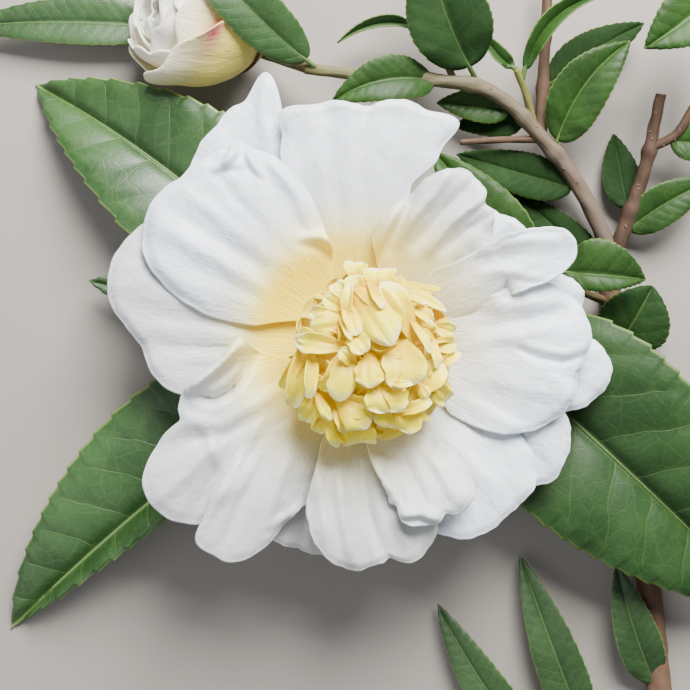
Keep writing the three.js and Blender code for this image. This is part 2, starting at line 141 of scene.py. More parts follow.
class Workbench:
    """Turns design millimetres into the model's metres, and finished shapes into pieces."""

    seat_height = 0.0097

    def __init__(self) -> None:
        """Find the design's origin from the seat in the flower's middle."""
        low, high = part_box("receptacle")
        self.shift = np.array([(low.x + high.x) / 2, (low.y + high.y) / 2,
                               low.z - self.seat_height])

    def place(self, points: Grid) -> Grid:
        """Return design points as metres in the model's frame."""
        return np.asarray(points) / MM_PER_M + self.shift

    def unplaced(self, shape: "Solid") -> "Solid":
        """Return a shape moved so that its mesh lies round the object's own origin."""
        return replace(shape, points=(shape.points / MM_PER_M - self.shift) * MM_PER_M)

    @staticmethod
    def show(name: str, data: bpy.types.ID) -> bpy.types.Object:
        """Make an object and link it into the scene.

        Args:
            name: Its name.
            data: Its mesh, light or camera.
        Returns:
            The object.
        """
        item = bpy.data.objects.new(name, data)
        bpy.context.scene.collection.objects.link(item)
        return item

    def mesh(self, name: str, shape: "Solid", material: bpy.types.Material) -> bpy.types.Object:
        """Make an object from a closed shape.

        Args:
            name: The piece's name.
            shape: Its points, faces and what its finish reads.
            material: Its finish.
        Returns:
            The object, at the origin, with its place in its mesh.
        """
        mesh = bpy.data.meshes.new(name)
        mesh.from_pydata(self.place(shape.points).tolist(), [], shape.faces)
        mesh.polygons.foreach_set("use_smooth", [True] * len(mesh.polygons))
        for label, values in shape.marks.items():
            layer = mesh.attributes.new(label, "FLOAT", "POINT")
            layer.data.foreach_set("value", np.asarray(values, dtype=np.float32))
        if shape.flat is not None:
            corners = np.empty(len(mesh.loops), dtype=np.int32)
            mesh.loops.foreach_get("vertex_index", corners)
            chart = mesh.uv_layers.new(name="flat")
            chart.data.foreach_set("uv", shape.flat[corners].astype(np.float32).ravel())
        mesh.materials.append(material)
        mesh.update()
        return self.show(name, mesh)

    @staticmethod
    def hand_in(piece: bpy.types.Object, slot: Slot, *nodes: str) -> None:
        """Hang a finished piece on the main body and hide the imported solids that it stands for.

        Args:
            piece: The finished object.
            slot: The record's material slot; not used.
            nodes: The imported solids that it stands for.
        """
        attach(piece, MAIN_BODY)
        if nodes:
            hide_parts(*nodes)
        log.info("%s: %d faces", piece.name, len(piece.data.polygons))

    def add(self, name: str, shape: "Solid", material: bpy.types.Material, slot: Slot,
            *nodes: str) -> None:
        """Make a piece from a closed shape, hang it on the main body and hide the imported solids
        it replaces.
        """
        self.hand_in(self.mesh(name, shape, material), slot, *nodes)


# Shapes


@dataclass
class Solid:
    """A closed shape: points, faces, what its finish reads, and its flat chart."""

    points: Grid
    faces: list[list[int]]
    marks: dict[str, Grid]
    flat: Grid | None

    @staticmethod
    def joined(parts: "list[Solid]") -> "Solid":
        """Put shapes that have the same marks together, as one mesh.

        Args:
            parts: The shapes.
        Returns:
            All of them as one shape.
        """
        starts = np.cumsum([0] + [len(part.points) for part in parts])
        faces = [[start + k for k in face] for start, part in zip(starts.tolist(), parts)
                 for face in part.faces]
        marks = {label: np.concatenate([part.marks[label] for part in parts])
                 for label in parts[0].marks}
        flat = None if parts[0].flat is None else np.concatenate([part.flat for part in parts])
        return Solid(np.concatenate([part.points for part in parts]), faces, marks, flat)


@dataclass
class Skin:
    """A bare surface before it gets its thickness."""

    points: Grid
    quads: Grid
    triangles: Grid
    border: Grid
    inner: Grid
    marks: dict[str, Grid]
    flat: Grid | None

    @staticmethod
    def sheet(points: Grid, marks: dict[str, Grid], flat: Grid | None = None) -> "Skin":
        """Make a surface from rows and columns of points.

        Args:
            points: Rows by columns by three.
            marks: Numbers per point, rows by columns.
            flat: Two chart values per point.
        Returns:
            The surface, with its border anticlockwise.
        """
        rows, columns = points.shape[:2]
        index = np.arange(rows * columns).reshape(rows, columns)
        quads = np.stack([index[:-1, :-1], index[:-1, 1:], index[1:, 1:], index[1:, :-1]],
                         axis=-1).reshape(-1, 4)
        border = np.concatenate([index[0, :-1], index[:-1, -1], index[-1, :0:-1], index[:0:-1, 0]])
        inner = np.concatenate([index[1, :-1], index[:-1, -2], index[-2, :0:-1], index[:0:-1, 1]])
        return Skin(points.reshape(-1, 3), quads, np.zeros((0, 3), dtype=int), border, inner,
                    {k: v.reshape(-1) for k, v in marks.items()},
                    None if flat is None else flat.reshape(-1, 2))

    @staticmethod
    def disc(centre: Grid, rings: Grid, marks: dict[str, Grid], flat: Grid) -> "Skin":
        """Make a surface from a middle point and rings around it.

        Args:
            centre: The middle point.
            rings: Rings by points by three, anticlockwise, from the inside out.
            marks: Numbers per point, the middle first and then the rings in order.
            flat: Two chart values per point, in the same order.
        Returns:
            The surface, with its last ring as border.
        """
        count, around = rings.shape[:2]
        index = 1 + np.arange(count * around).reshape(count, around)
        turned = np.roll(index, -1, axis=1)
        quads = np.stack([index[:-1], index[1:], turned[1:], turned[:-1]], axis=-1).reshape(-1, 4)
        fan = np.stack([np.zeros(around, dtype=int), index[0], turned[0]], axis=-1)
        points = np.concatenate([centre[None], rings.reshape(-1, 3)])
        return Skin(points, quads, fan, index[-1], index[-2], marks, flat)

    def normals(self) -> Grid:
        """Find which way the surface faces.

        Returns:
            A direction of length one for each point.
        """
        total = np.zeros_like(self.points)
        for ring in (self.quads, self.triangles):
            if len(ring):
                corner = self.points[ring]
                face = np.cross(corner[:, 2] - corner[:, 0], corner[:, -1] - corner[:, 1])
                for k in range(ring.shape[1]):
                    np.add.at(total, ring[:, k], face)
        return unit(total)

    def thickened(self, thickness: float | Grid) -> Solid:
        """Give the surface a thickness and a rounded rim.

        Args:
            thickness: One number, or one for each point.
        Returns:
            The closed shape, its top side first.
        """
        count = len(self.points)
        half = np.broadcast_to(np.asarray(thickness, dtype=float) / 2, (count,))[:, None]
        offset = self.normals() * half
        outward = unit(self.points[self.border] - self.points[self.inner])
        rim = self.points[self.border] + outward * half[self.border]
        points = np.concatenate([self.points + offset, self.points - offset, rim])
        following = np.roll(self.border, -1)
        edge = 2 * count + np.arange(len(self.border))
        next_edge = np.roll(edge, -1)
        walls = np.concatenate([
            np.stack([self.border, edge, next_edge, following], axis=-1),
            np.stack([edge, self.border + count, following + count, next_edge], axis=-1)])
        faces = (self.quads.tolist() + self.triangles.tolist()
                 + (self.quads[:, ::-1] + count).tolist()
                 + (self.triangles[:, ::-1] + count).tolist() + walls.tolist())
        marks = {k: np.concatenate([v, v, v[self.border]]) for k, v in self.marks.items()}
        flat = None if self.flat is None else np.concatenate(
            [self.flat, self.flat, self.flat[self.border]])
        return Solid(points, faces, marks, flat)


def closed_tube(rings: Grid, marks: dict[str, Grid], flat: Grid) -> Solid:
    """Close a row of rings into a solid, with a point in the middle of each end.

    Args:
        rings: Rings by points by three, each anticlockwise seen from the last ring.
        marks: Numbers per ring and point.
        flat: Two chart values per ring and point.
    Returns:
        The closed shape.
    """
    count, around = rings.shape[:2]
    index = np.arange(count * around).reshape(count, around)
    turned = np.roll(index, -1, axis=1)
    sides = np.stack([index[:-1], turned[:-1], turned[1:], index[1:]], axis=-1).reshape(-1, 4)
    first, last = count * around, count * around + 1
    faces = sides.tolist()
    faces += [[first, int(b), int(a)] for a, b in zip(index[0], turned[0])]
    faces += [[last, int(a), int(b)] for a, b in zip(index[-1], turned[-1])]
    points = np.concatenate([rings.reshape(-1, 3), rings[0].mean(axis=0)[None],
                             rings[-1].mean(axis=0)[None]])
    closed = {k: np.concatenate([v.reshape(-1), [v[0, 0], v[-1, 0]]]) for k, v in marks.items()}
    chart = np.concatenate([flat.reshape(-1, 2), flat[0, :1], flat[-1, :1]])
    return Solid(points, faces, closed, chart)


def curve_through(path: tuple[Spot, ...], count: int) -> Grid:
    """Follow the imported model's smooth curve through some points, in even steps.

    Args:
        path: The points.
        count: How many places along it to return.
    Returns:
        The places, evenly spaced.
    """
    knots = np.array(path, dtype=float)
    ends = [2 * knots[0] - knots[1], 2 * knots[-1] - knots[-2]]
    chain = np.concatenate([ends[:1], knots, ends[1:]])
    spans = []
    for k in range(1, len(chain) - 2):
        before, start, finish, after = chain[k - 1:k + 3]
        gaps = [max(float(np.linalg.norm(b - a)) ** 0.5, 1e-4)
                for a, b in ((before, start), (start, finish), (finish, after))]
        lead = ((start - before) / gaps[0] - (finish - before) / (gaps[0] + gaps[1])
                + (finish - start) / gaps[1]) * gaps[1]
        trail = ((finish - start) / gaps[1] - (after - start) / (gaps[1] + gaps[2])
                 + (after - finish) / gaps[2]) * gaps[1]
        t = np.linspace(0, 1, 40, endpoint=False)[:, None]
        spans.append(start + lead * t + (3 * (finish - start) - 2 * lead - trail) * t ** 2
                     + (2 * (start - finish) + lead + trail) * t ** 3)
    fine = np.concatenate(spans + [knots[-1:]])
    length = np.concatenate([[0], np.cumsum(np.linalg.norm(np.diff(fine, axis=0), axis=1))])
    wanted = np.linspace(0, length[-1], count)
    return np.stack([np.interp(wanted, length, fine[:, k]) for k in range(3)], axis=-1)


def path_length(line: Grid) -> float:
    """Return the length of a line of places."""
    return float(np.sum(np.linalg.norm(np.diff(line, axis=0), axis=1)))


def frames_along(line: Grid) -> tuple[Grid, Grid]:
    """Carry two cross directions along a line without twisting them.

    Args:
        line: Places along it.
    Returns:
        The two directions at each place.
    """
    run = unit(np.gradient(line, axis=0))
    seed = np.array([0.0, 0.0, 1.0]) if abs(run[0, 2]) < 0.9 else np.array([0.0, 1.0, 0.0])
    side = unit(np.cross(run[0], seed))
    sides = []
    for heading in run:
        side = unit(side - heading * side.dot(heading))
        sides.append(side)
    across = np.array(sides)
    return across, np.cross(run, across)


def rings_along(line: Grid, radius: Grid, angle: Grid) -> Grid:
    """Set rings round a line.

    Args:
        line: Places along it.
        radius: The radius at each place, or at each place and angle.
        angle: The angles of a ring's points.
    Returns:
        Rings by points by three.
    """
    across, up = frames_along(line)
    return line[:, None] + radius[..., None] * (across[:, None] * np.cos(angle)[None, :, None]
                                                + up[:, None] * np.sin(angle)[None, :, None])


def scale_edge(along: Grid, across: Grid) -> dict[str, Grid]:
    """Return the mark that rises from 0 inside a scale to 1 at its edges and tip."""
    return {"edge": np.maximum(np.abs(across) * np.ones_like(along),
                               along * np.ones_like(across)) ** 2}


# Finishes


class Field:
    """One socket's value, so that a pattern is written as a sum."""

    def __init__(self, palette: "Palette", socket: bpy.types.NodeSocket) -> None:
        """Hold the socket and the palette that it belongs to."""
        self.palette = palette
        self.socket = socket

    def __add__(self, other: "Field | float") -> "Field":
        """Return the sum."""
        return self.palette.maths("ADD", self, other)

    def __radd__(self, other: float) -> "Field":
        """Return the sum."""
        return self.palette.maths("ADD", other, self)

    def __sub__(self, other: "Field | float") -> "Field":
        """Return the difference."""
        return self.palette.maths("SUBTRACT", self, other)

    def __rsub__(self, other: float) -> "Field":
        """Return the difference from a number."""
        return self.palette.maths("SUBTRACT", other, self)

    def __mul__(self, other: "Field | float") -> "Field":
        """Return the product."""
        return self.palette.maths("MULTIPLY", self, other)

    def __rmul__(self, other: float) -> "Field":
        """Return the product."""
        return self.palette.maths("MULTIPLY", other, self)

    def __pow__(self, other: float) -> "Field":
        """Return the power."""
        return self.palette.maths("POWER", self, other)

    def __abs__(self) -> "Field":
        """Return the size without its sign."""
        return self.palette.maths("ABSOLUTE", self)


class Graph:
    """A tree of nodes, each added with its settings and sockets in one call."""

    def __init__(self, tree: bpy.types.NodeTree) -> None:
        """Work on this tree."""
        self.tree = tree

    def node(self, kind: str, settings: dict[str, object] | None = None,
             inputs: dict[str | int, object] | None = None) -> bpy.types.Node:
        """Add a node.

        Args:
            kind: Its type.
            settings: Its own properties; "stops" gives a ramp's places and colours.
            inputs: What feed takes, by the socket's name or number.
        Returns:
            The node.
        """
        made = self.tree.nodes.new(kind)
        for key, value in (settings or {}).items():
            if key == "stops":
                while len(made.color_ramp.elements) < len(value):
                    made.color_ramp.elements.new(0.5)
                for element, (place, colour) in zip(made.color_ramp.elements, value):
                    element.position, element.color = place, (*colour, 1.0)
            else:
                setattr(made, key, value)
        for key, value in (inputs or {}).items():
            self.feed(made.inputs[key], value)
        return made

    def feed(self, socket: bpy.types.NodeSocket, value: object) -> None:
        """Link or set one socket.

        Args:
            socket: The socket.
            value: A Field, a socket or a node with its first output to link, or else a
                number, colour, vector, object or material to set.
        """
        source = value
        if isinstance(value, Field):
            source = value.socket
        elif isinstance(value, bpy.types.Node):
            source = value.outputs[0]
        if isinstance(source, bpy.types.NodeSocket):
            self.tree.links.new(source, socket)
        elif isinstance(value, tuple) and socket.type == "RGBA" and len(value) == 3:
            socket.default_value = (*value, 1.0)
        else:
            socket.default_value = value


class Palette(Graph):
    """One finish's nodes, around a Principled shader."""

    def __init__(self, name: str) -> None:
        """Start an empty finish.

        Args:
            name: The material's name.
        """
        self.material = bpy.data.materials.new(name)
        self.material.use_nodes = True
        super().__init__(self.material.node_tree)
        self.tree.nodes.clear()
        self.shader = self.node("ShaderNodeBsdfPrincipled")
        self.node("ShaderNodeOutputMaterial", None, {"Surface": self.shader})

    def field(self, kind: str, settings: dict[str, object] | None = None,
              inputs: dict[str | int, object] | None = None, output: int | str = 0) -> Field:
        """Add a node as Graph.node does, and return one of its outputs."""
        return Field(self, self.node(kind, settings, inputs).outputs[output])

    def maths(self, operation: str, *values: "Field | float") -> Field:
        """Return the result of a Math node on some values."""
        return self.field("ShaderNodeMath", {"operation": operation}, dict(enumerate(values)))

    def ease(self, value: Field, low: float, high: float) -> Field:
        """Return a value eased from 0 at the low number to 1 at the high one."""
        return self.field("ShaderNodeMapRange", {"interpolation_type": "SMOOTHSTEP"},
                          {0: value, 1: low, 2: high})

    def mark(self, name: str) -> Field:
        """Return a number that the mesh carries."""
        return self.field("ShaderNodeAttribute", {"attribute_name": name}, None, "Fac")

    def chart(self) -> Field:
        """Return the piece's own flat chart."""
        return self.field("ShaderNodeUVMap", {"uv_map": "flat"})

    def spot(self) -> Field:
        """Return the place on the piece in millimetres."""
        place = self.field("ShaderNodeTexCoord", output="Object")
        return self.stretch(place, (MM_PER_M,) * 3)

    def stretch(self, vector: Field, scale: Spot) -> Field:
        """Return a vector scaled by one number for each axis."""
        return self.field("ShaderNodeVectorMath", {"operation": "MULTIPLY"},
                          {0: vector, 1: scale})

    def parts(self, vector: Field) -> tuple[Field, Field, Field]:
        """Return a vector's three numbers."""
        made = self.node("ShaderNodeSeparateXYZ", None, {0: vector})
        return tuple(Field(self, made.outputs[k]) for k in range(3))

    def noise(self, vector: Field, size: float, detail: float = 2.0,
              roughness: float = 0.5) -> Field:
        """Return soft noise from 0 to 1, with lumps of a size in the vector's unit."""
        return self.field("ShaderNodeTexNoise", None,
                          {"Vector": vector, "Scale": 1.0 / size, "Detail": detail,
                           "Roughness": roughness})

    def cells(self, vector: Field, size: float) -> Field:
        """Return the distance to the nearest wall of a net of cells of a size."""
        return self.field("ShaderNodeTexVoronoi", {"feature": "DISTANCE_TO_EDGE"},
                          {"Vector": vector, "Scale": 1.0 / size}, "Distance")

    def ramp(self, value: Field, *stops: tuple[float, Colour]) -> Field:
        """Return the colour that a value from 0 to 1 picks between some stops."""
        return self.field("ShaderNodeValToRGB", {"stops": stops}, {0: value})

    def blend(self, share: Field | float, first: Field | Colour,
              second: Field | Colour) -> Field:
        """Return two colours mixed, with a share of the second."""
        return self.field("ShaderNodeMix", {"data_type": "RGBA"},
                          {0: share, 6: first, 7: second}, 2)

    def relief(self, height: Field, depth: float) -> None:
        """Give the finish fine relief, as deep in millimetres where the height is 1."""
        bump = self.node("ShaderNodeBump", None,
                         {"Height": height, "Distance": depth / MM_PER_M, "Strength": 1.0})
        self.feed(self.shader.inputs["Normal"], bump)

    def finish(self, **values: object) -> bpy.types.Material:
        """Set the shader's own sockets, with _ for a space, and return the material."""
        for key, value in values.items():
            self.feed(self.shader.inputs[key.replace("_", " ")], value)
        return self.material


@dataclass(frozen=True)
class PetalFinish:
    """White petals: fine streaks from the throat to the rim, a painted yellow glow at the throat,
    and painted shade that greys some petals, most of all the lower ones.
    """

    white: Colour = linear(228, 234, 241)
    shade: Colour = linear(212, 219, 230)
    # the grey of the painted shade that darkens some petals
    ivory: Colour = linear(191, 191, 187)
    # glow and gold: the colours of the painted yellow glow near the throat
    glow: Colour = linear(250, 236, 130)
    gold: Colour = linear(255, 224, 50)
    blush: Colour = linear(206, 62, 96)
    cream: Colour = linear(226, 208, 104)
    streak_relief: float = 0.17

    def make(self, name: str) -> bpy.types.Material:
        """Build the finish.

        Args:
            name: The material's name.
        Returns:
            The material.
        """
        p = Palette(name)
        chart = p.chart()
        streaks = p.noise(p.stretch(chart, (1.0, 0.06, 1.0)), 0.5, 4.0, 0.65)
        crinkle = p.noise(p.stretch(chart, (1.0, 0.3, 1.0)), 1.5, 4.0, 0.6)
        wrinkle = (1.0 - abs(crinkle * 2.0 - 1.0)) ** 4.0
        cloud = p.noise(p.spot(), 9.0, 2.0)
        tone = p.ease(streaks * 0.55 + cloud * 0.25 + wrinkle * 0.2, 0.34, 0.72)
        colour = p.blend(tone, self.shade, self.white)
        # Painted shade: each petal's mark darkens its white toward a grey.
        colour = p.blend(p.mark("ivory"), colour, self.ivory)
        # Painted glow: yellow and then gold painted onto the petals near the throat.
        glow = p.mark("glow") + (streaks - 0.5) * 0.2 * p.mark("glow")
        colour = p.blend(glow ** 0.8, colour, self.glow)
        colour = p.blend(p.ease(glow, 0.45, 1.05), colour, self.gold)
        colour = p.blend(p.mark("cream"), colour, self.cream)
        colour = p.blend(p.mark("blush") * p.ease(streaks, 0.2, 0.55), colour, self.blush)
        p.relief(streaks * 0.25 + crinkle * 0.3 + wrinkle * 0.45, self.streak_relief)
        return p.finish(Base_Color=colour, Roughness=0.38 + 0.15 * crinkle, Sheen_Weight=0.08,
                        Sheen_Roughness=0.4, Specular_IOR_Level=0.5, Subsurface_Weight=0.15,
                        Subsurface_Radius=(1.0, 0.95, 0.8), Subsurface_Scale=0.0008)


@dataclass(frozen=True)
class PetaloidFinish:
    """The small crowded petals of the middle: cream tips over deep yellow feet, with a painted
    orange glow at the feet.
    """

    foot: Colour = linear(231, 194, 0)
    middle: Colour = linear(255, 238, 0)
    tip: Colour = linear(255, 253, 206)
    warm: Colour = linear(255, 231, 0)
    # Painted glow: the feet give off orange light, standing in for light through the thin petals.
    through: Colour = (1.0, 0.7, 0.0)
    painted_glow_strength: float = 0.1

    def make(self, name: str) -> bpy.types.Material:
        """Build the finish.

        Args:
            name: The material's name.
        Returns:
            The material.
        """
        p = Palette(name)
        chart = p.chart()
        streaks = p.noise(p.stretch(chart, (1.0, 0.12, 1.0)), 0.6, 3.0, 0.6)
        crinkle = p.noise(chart, 1.1, 3.0, 0.6)
        reach = p.mark("reach") + (streaks - 0.5) * 0.25 + (crinkle - 0.5) * 0.15
        colour = p.ramp(reach, (0.28, self.foot), (0.66, self.middle), (0.97, self.tip))
        colour = p.blend(p.mark("tone") * 0.55 * p.ease(reach, 0.3, 0.6), colour, self.warm)
        p.relief(streaks * 0.6 + crinkle * 0.4, 0.2)
        # The emission below is painted glow, not a lamp.
        return p.finish(Base_Color=colour, Roughness=0.4 + 0.12 * streaks,
                        Specular_IOR_Level=0.4, Subsurface_Weight=0.12,
                        Subsurface_Radius=(1.0, 0.85, 0.2), Subsurface_Scale=0.0008,
                        Emission_Color=p.ramp(reach, (0.2, self.through), (0.8, BLACK)),
                        Emission_Strength=self.painted_glow_strength)


@dataclass(frozen=True)
class SeatFinish:
    """The flower's seat: golden between its petals, pale green below them."""

    gold: Colour = linear(222, 184, 0)
    green: Colour = linear(172, 184, 112)
    rise: tuple[float, float] = (12.0, 15.0)

    def make(self, name: str) -> bpy.types.Material:
        """Build the finish.

        Args:
            name: The material's name.
        Returns:
            The material.
        """
        p = Palette(name)
        grain = p.noise(p.spot(), 1.5, 3.0)
        height = p.parts(p.spot())[2]
        colour = p.blend(p.ease(height + grain * 1.5, *self.rise), self.green, self.gold)
        p.relief(grain, 0.2)
        return p.finish(Base_Color=colour, Roughness=0.5 + 0.1 * grain)


@dataclass(frozen=True)
class LeafFinish:
    """Leathery leaves: side veins from the midrib, a fine net between them, a pale margin."""

    deep: Colour
    fresh: Colour
    vein: Colour
    margin: Colour
    under: Colour
    # dark: the green of the painted shade
    dark: Colour = linear(11, 29, 9)
    roughness: float = 0.36
    gloss: float = 0.46

    def make(self, name: str) -> bpy.types.Material:
        """Build the finish.

        Args:
            name: The material's name.
        Returns:
            The material.
        """
        p = Palette(name)
        along, across, _ = p.parts(p.chart())
        out = abs(across)
        row = along - out * 0.5 - out * out * 0.15 + p.ease(across, -0.01, 0.01) * 0.5
        wobble = p.noise(p.spot(), 7.0, 2.0)
        row = row + (wobble - 0.5) * 0.3
        fold = abs(p.maths("FRACT", row) - 0.5)
        side = 1.0 - p.ease(0.5 - fold, 0.006, 0.03)
        side = side * (1.0 - p.ease(p.mark("edge"), 0.72, 0.9))
        between = 1.0 - p.ease(abs(p.maths("FRACT", row + 0.5 + wobble * 0.3) - 0.5) * -1.0 + 0.5,
                               0.006, 0.026)
        between = between * (1.0 - p.ease(p.mark("edge"), 0.2, 0.6)) * 0.3
        bow = p.maths("COSINE", row * math.tau)
        loop = 1.0 - p.ease(abs(p.mark("edge") - 0.78 - 0.07 * bow), 0.006, 0.022)
        side = p.maths("MAXIMUM", p.maths("MAXIMUM", side, between), loop * 0.25)
        midrib = 1.0 - p.ease(out, 0.02, 0.055)
        net = 1.0 - p.ease(p.cells(p.spot(), 1.5), 0.0, 0.07)
        mesh = 1.0 - p.ease(p.cells(p.spot(), 4.6), 0.0, 0.06)
        side = p.maths("MAXIMUM", side, mesh * 0.35)
        cloud = p.noise(p.spot(), 14.0, 3.0, 0.6)
        colour = p.blend(p.ease(cloud, 0.3, 0.7), self.deep, self.fresh)
        colour = p.blend(net * 0.06, colour, self.vein)
        colour = p.blend(side * 0.2, colour, self.vein)
        colour = p.blend(midrib * 0.7, colour, self.vein)
        colour = p.blend(p.ease(p.mark("edge"), 0.97, 1.0) * 0.6, colour, self.margin)
        colour = p.blend(p.mark("under"), colour, self.under)
        # Painted shade: the shade mark darkens shaded leaves toward the dark green.
        colour = p.blend(p.mark("shade"), colour, self.dark)
        p.relief(0.5 - net * 0.05 - side * 0.22 - midrib * 0.2 + cloud * 0.3, 0.2)
        rough = self.roughness + 0.16 * cloud + 0.2 * p.mark("under") + 0.35 * p.mark("shade")
        coat = 0.12 * (1.0 - p.mark("under")) * p.ease(p.mark("shade") * -1.0, -0.5, 0.0)
        return p.finish(Base_Color=colour, Roughness=rough, Specular_IOR_Level=self.gloss,
                        Coat_Weight=coat, Coat_Roughness=0.3,
                        Subsurface_Weight=0.06, Subsurface_Radius=(0.4, 1.0, 0.2),
                        Subsurface_Scale=0.0012)


@dataclass(frozen=True)
class BarkFinish:
    """Young woody stems: from dark brown to grey, lightly cracked along their length."""

    dark: Colour = linear(58, 43, 33)
    brown: Colour = linear(98, 74, 56)
    grey: Colour = linear(100, 88, 77)
    green: Colour = linear(112, 126, 52)
    wood: Colour = linear(206, 178, 130)

    def make(self, name: str) -> bpy.types.Material:
        """Build the finish.

        Args:
            name: The material's name.
        Returns:
            The material.
        """
        p = Palette(name)
        fibres = p.noise(p.stretch(p.chart(), (1.0, 0.12, 1.0)), 0.7, 4.0, 0.65)
        patches = p.noise(p.spot(), 3.2, 3.0, 0.6)
        tone = p.mark("tone") + (patches - 0.5) * 0.5 + (fibres - 0.5) * 0.35
        colour = p.ramp(tone, (0.0, self.dark), (0.45, self.brown), (0.9, self.grey))
        colour = p.blend(p.mark("green"), colour, self.green)
        colour = p.blend(p.mark("wood"), colour, self.wood)
        p.relief(fibres * 0.7 + patches * 0.3, 0.3)
        return p.finish(Base_Color=colour, Roughness=0.62 + 0.2 * fibres, Specular_IOR_Level=0.3)


@dataclass(frozen=True)
class CalyxFinish:
    """Green scales, brown at their dry rims."""

    green: Colour = linear(128, 142, 66)
    brown: Colour = linear(112, 82, 48)

    def make(self, name: str) -> bpy.types.Material:
        """Build the finish.

        Args:
            name: The material's name.
        Returns:
            The material.
        """
        p = Palette(name)
        grain = p.noise(p.spot(), 1.2, 3.0, 0.6)
        edge = p.ease(p.mark("edge") + (grain - 0.5) * 0.5, 0.6, 1.0)
        colour = p.blend(edge, self.green, self.brown)
        p.relief(grain, 0.2)
        return p.finish(Base_Color=colour, Roughness=0.5 + 0.15 * grain, Sheen_Weight=0.15)


# The big petals

PIXELS_PER_MM = 5.2
FOOT_RADIUS = 7.5
FOOT_HEIGHT = 12.5
PETAL_THICKNESS = 0.42
PETAL_RINGS = 40
PETAL_AROUND = 150


@dataclass(frozen=True)
class Fold:
    """A ridge along some pixels of the photograph, or a crease where its rise is below 0."""

    path: tuple[Pixel, ...]
    rise: float
    width: float

    def height(self, seen: Grid) -> Grid:
        """Return how far the fold lifts each place.

        Args:
            seen: The pixels that see the places.
        Returns:
            The lift in millimetres.
        """
        knots = np.array(self.path, dtype=float)
        total = len(knots) - 1
        nearest = np.full(seen.shape[:-1], 1e9)
        share = np.zeros(seen.shape[:-1])
        for k in range(total):
            run = knots[k + 1] - knots[k]
            t = np.clip(((seen - knots[k]) @ run) / run.dot(run), 0, 1)
            off = np.linalg.norm(seen - knots[k] - t[..., None] * run, axis=-1)
            closer = off < nearest
            nearest = np.where(closer, off, nearest)
            share = np.where(closer, (k + t) / total, share)
        taper = 0.25 + 0.75 * np.sin(math.pi * np.clip(share, 0.02, 0.98)) ** 0.6
        return self.rise * taper * hump(nearest / PIXELS_PER_MM, self.width)


def off_from(turn: Grid, at: float) -> Grid:
    """Return how far directions are from another one, from -180 to 180 degrees."""
    return (turn - at + 180) % 360 - 180


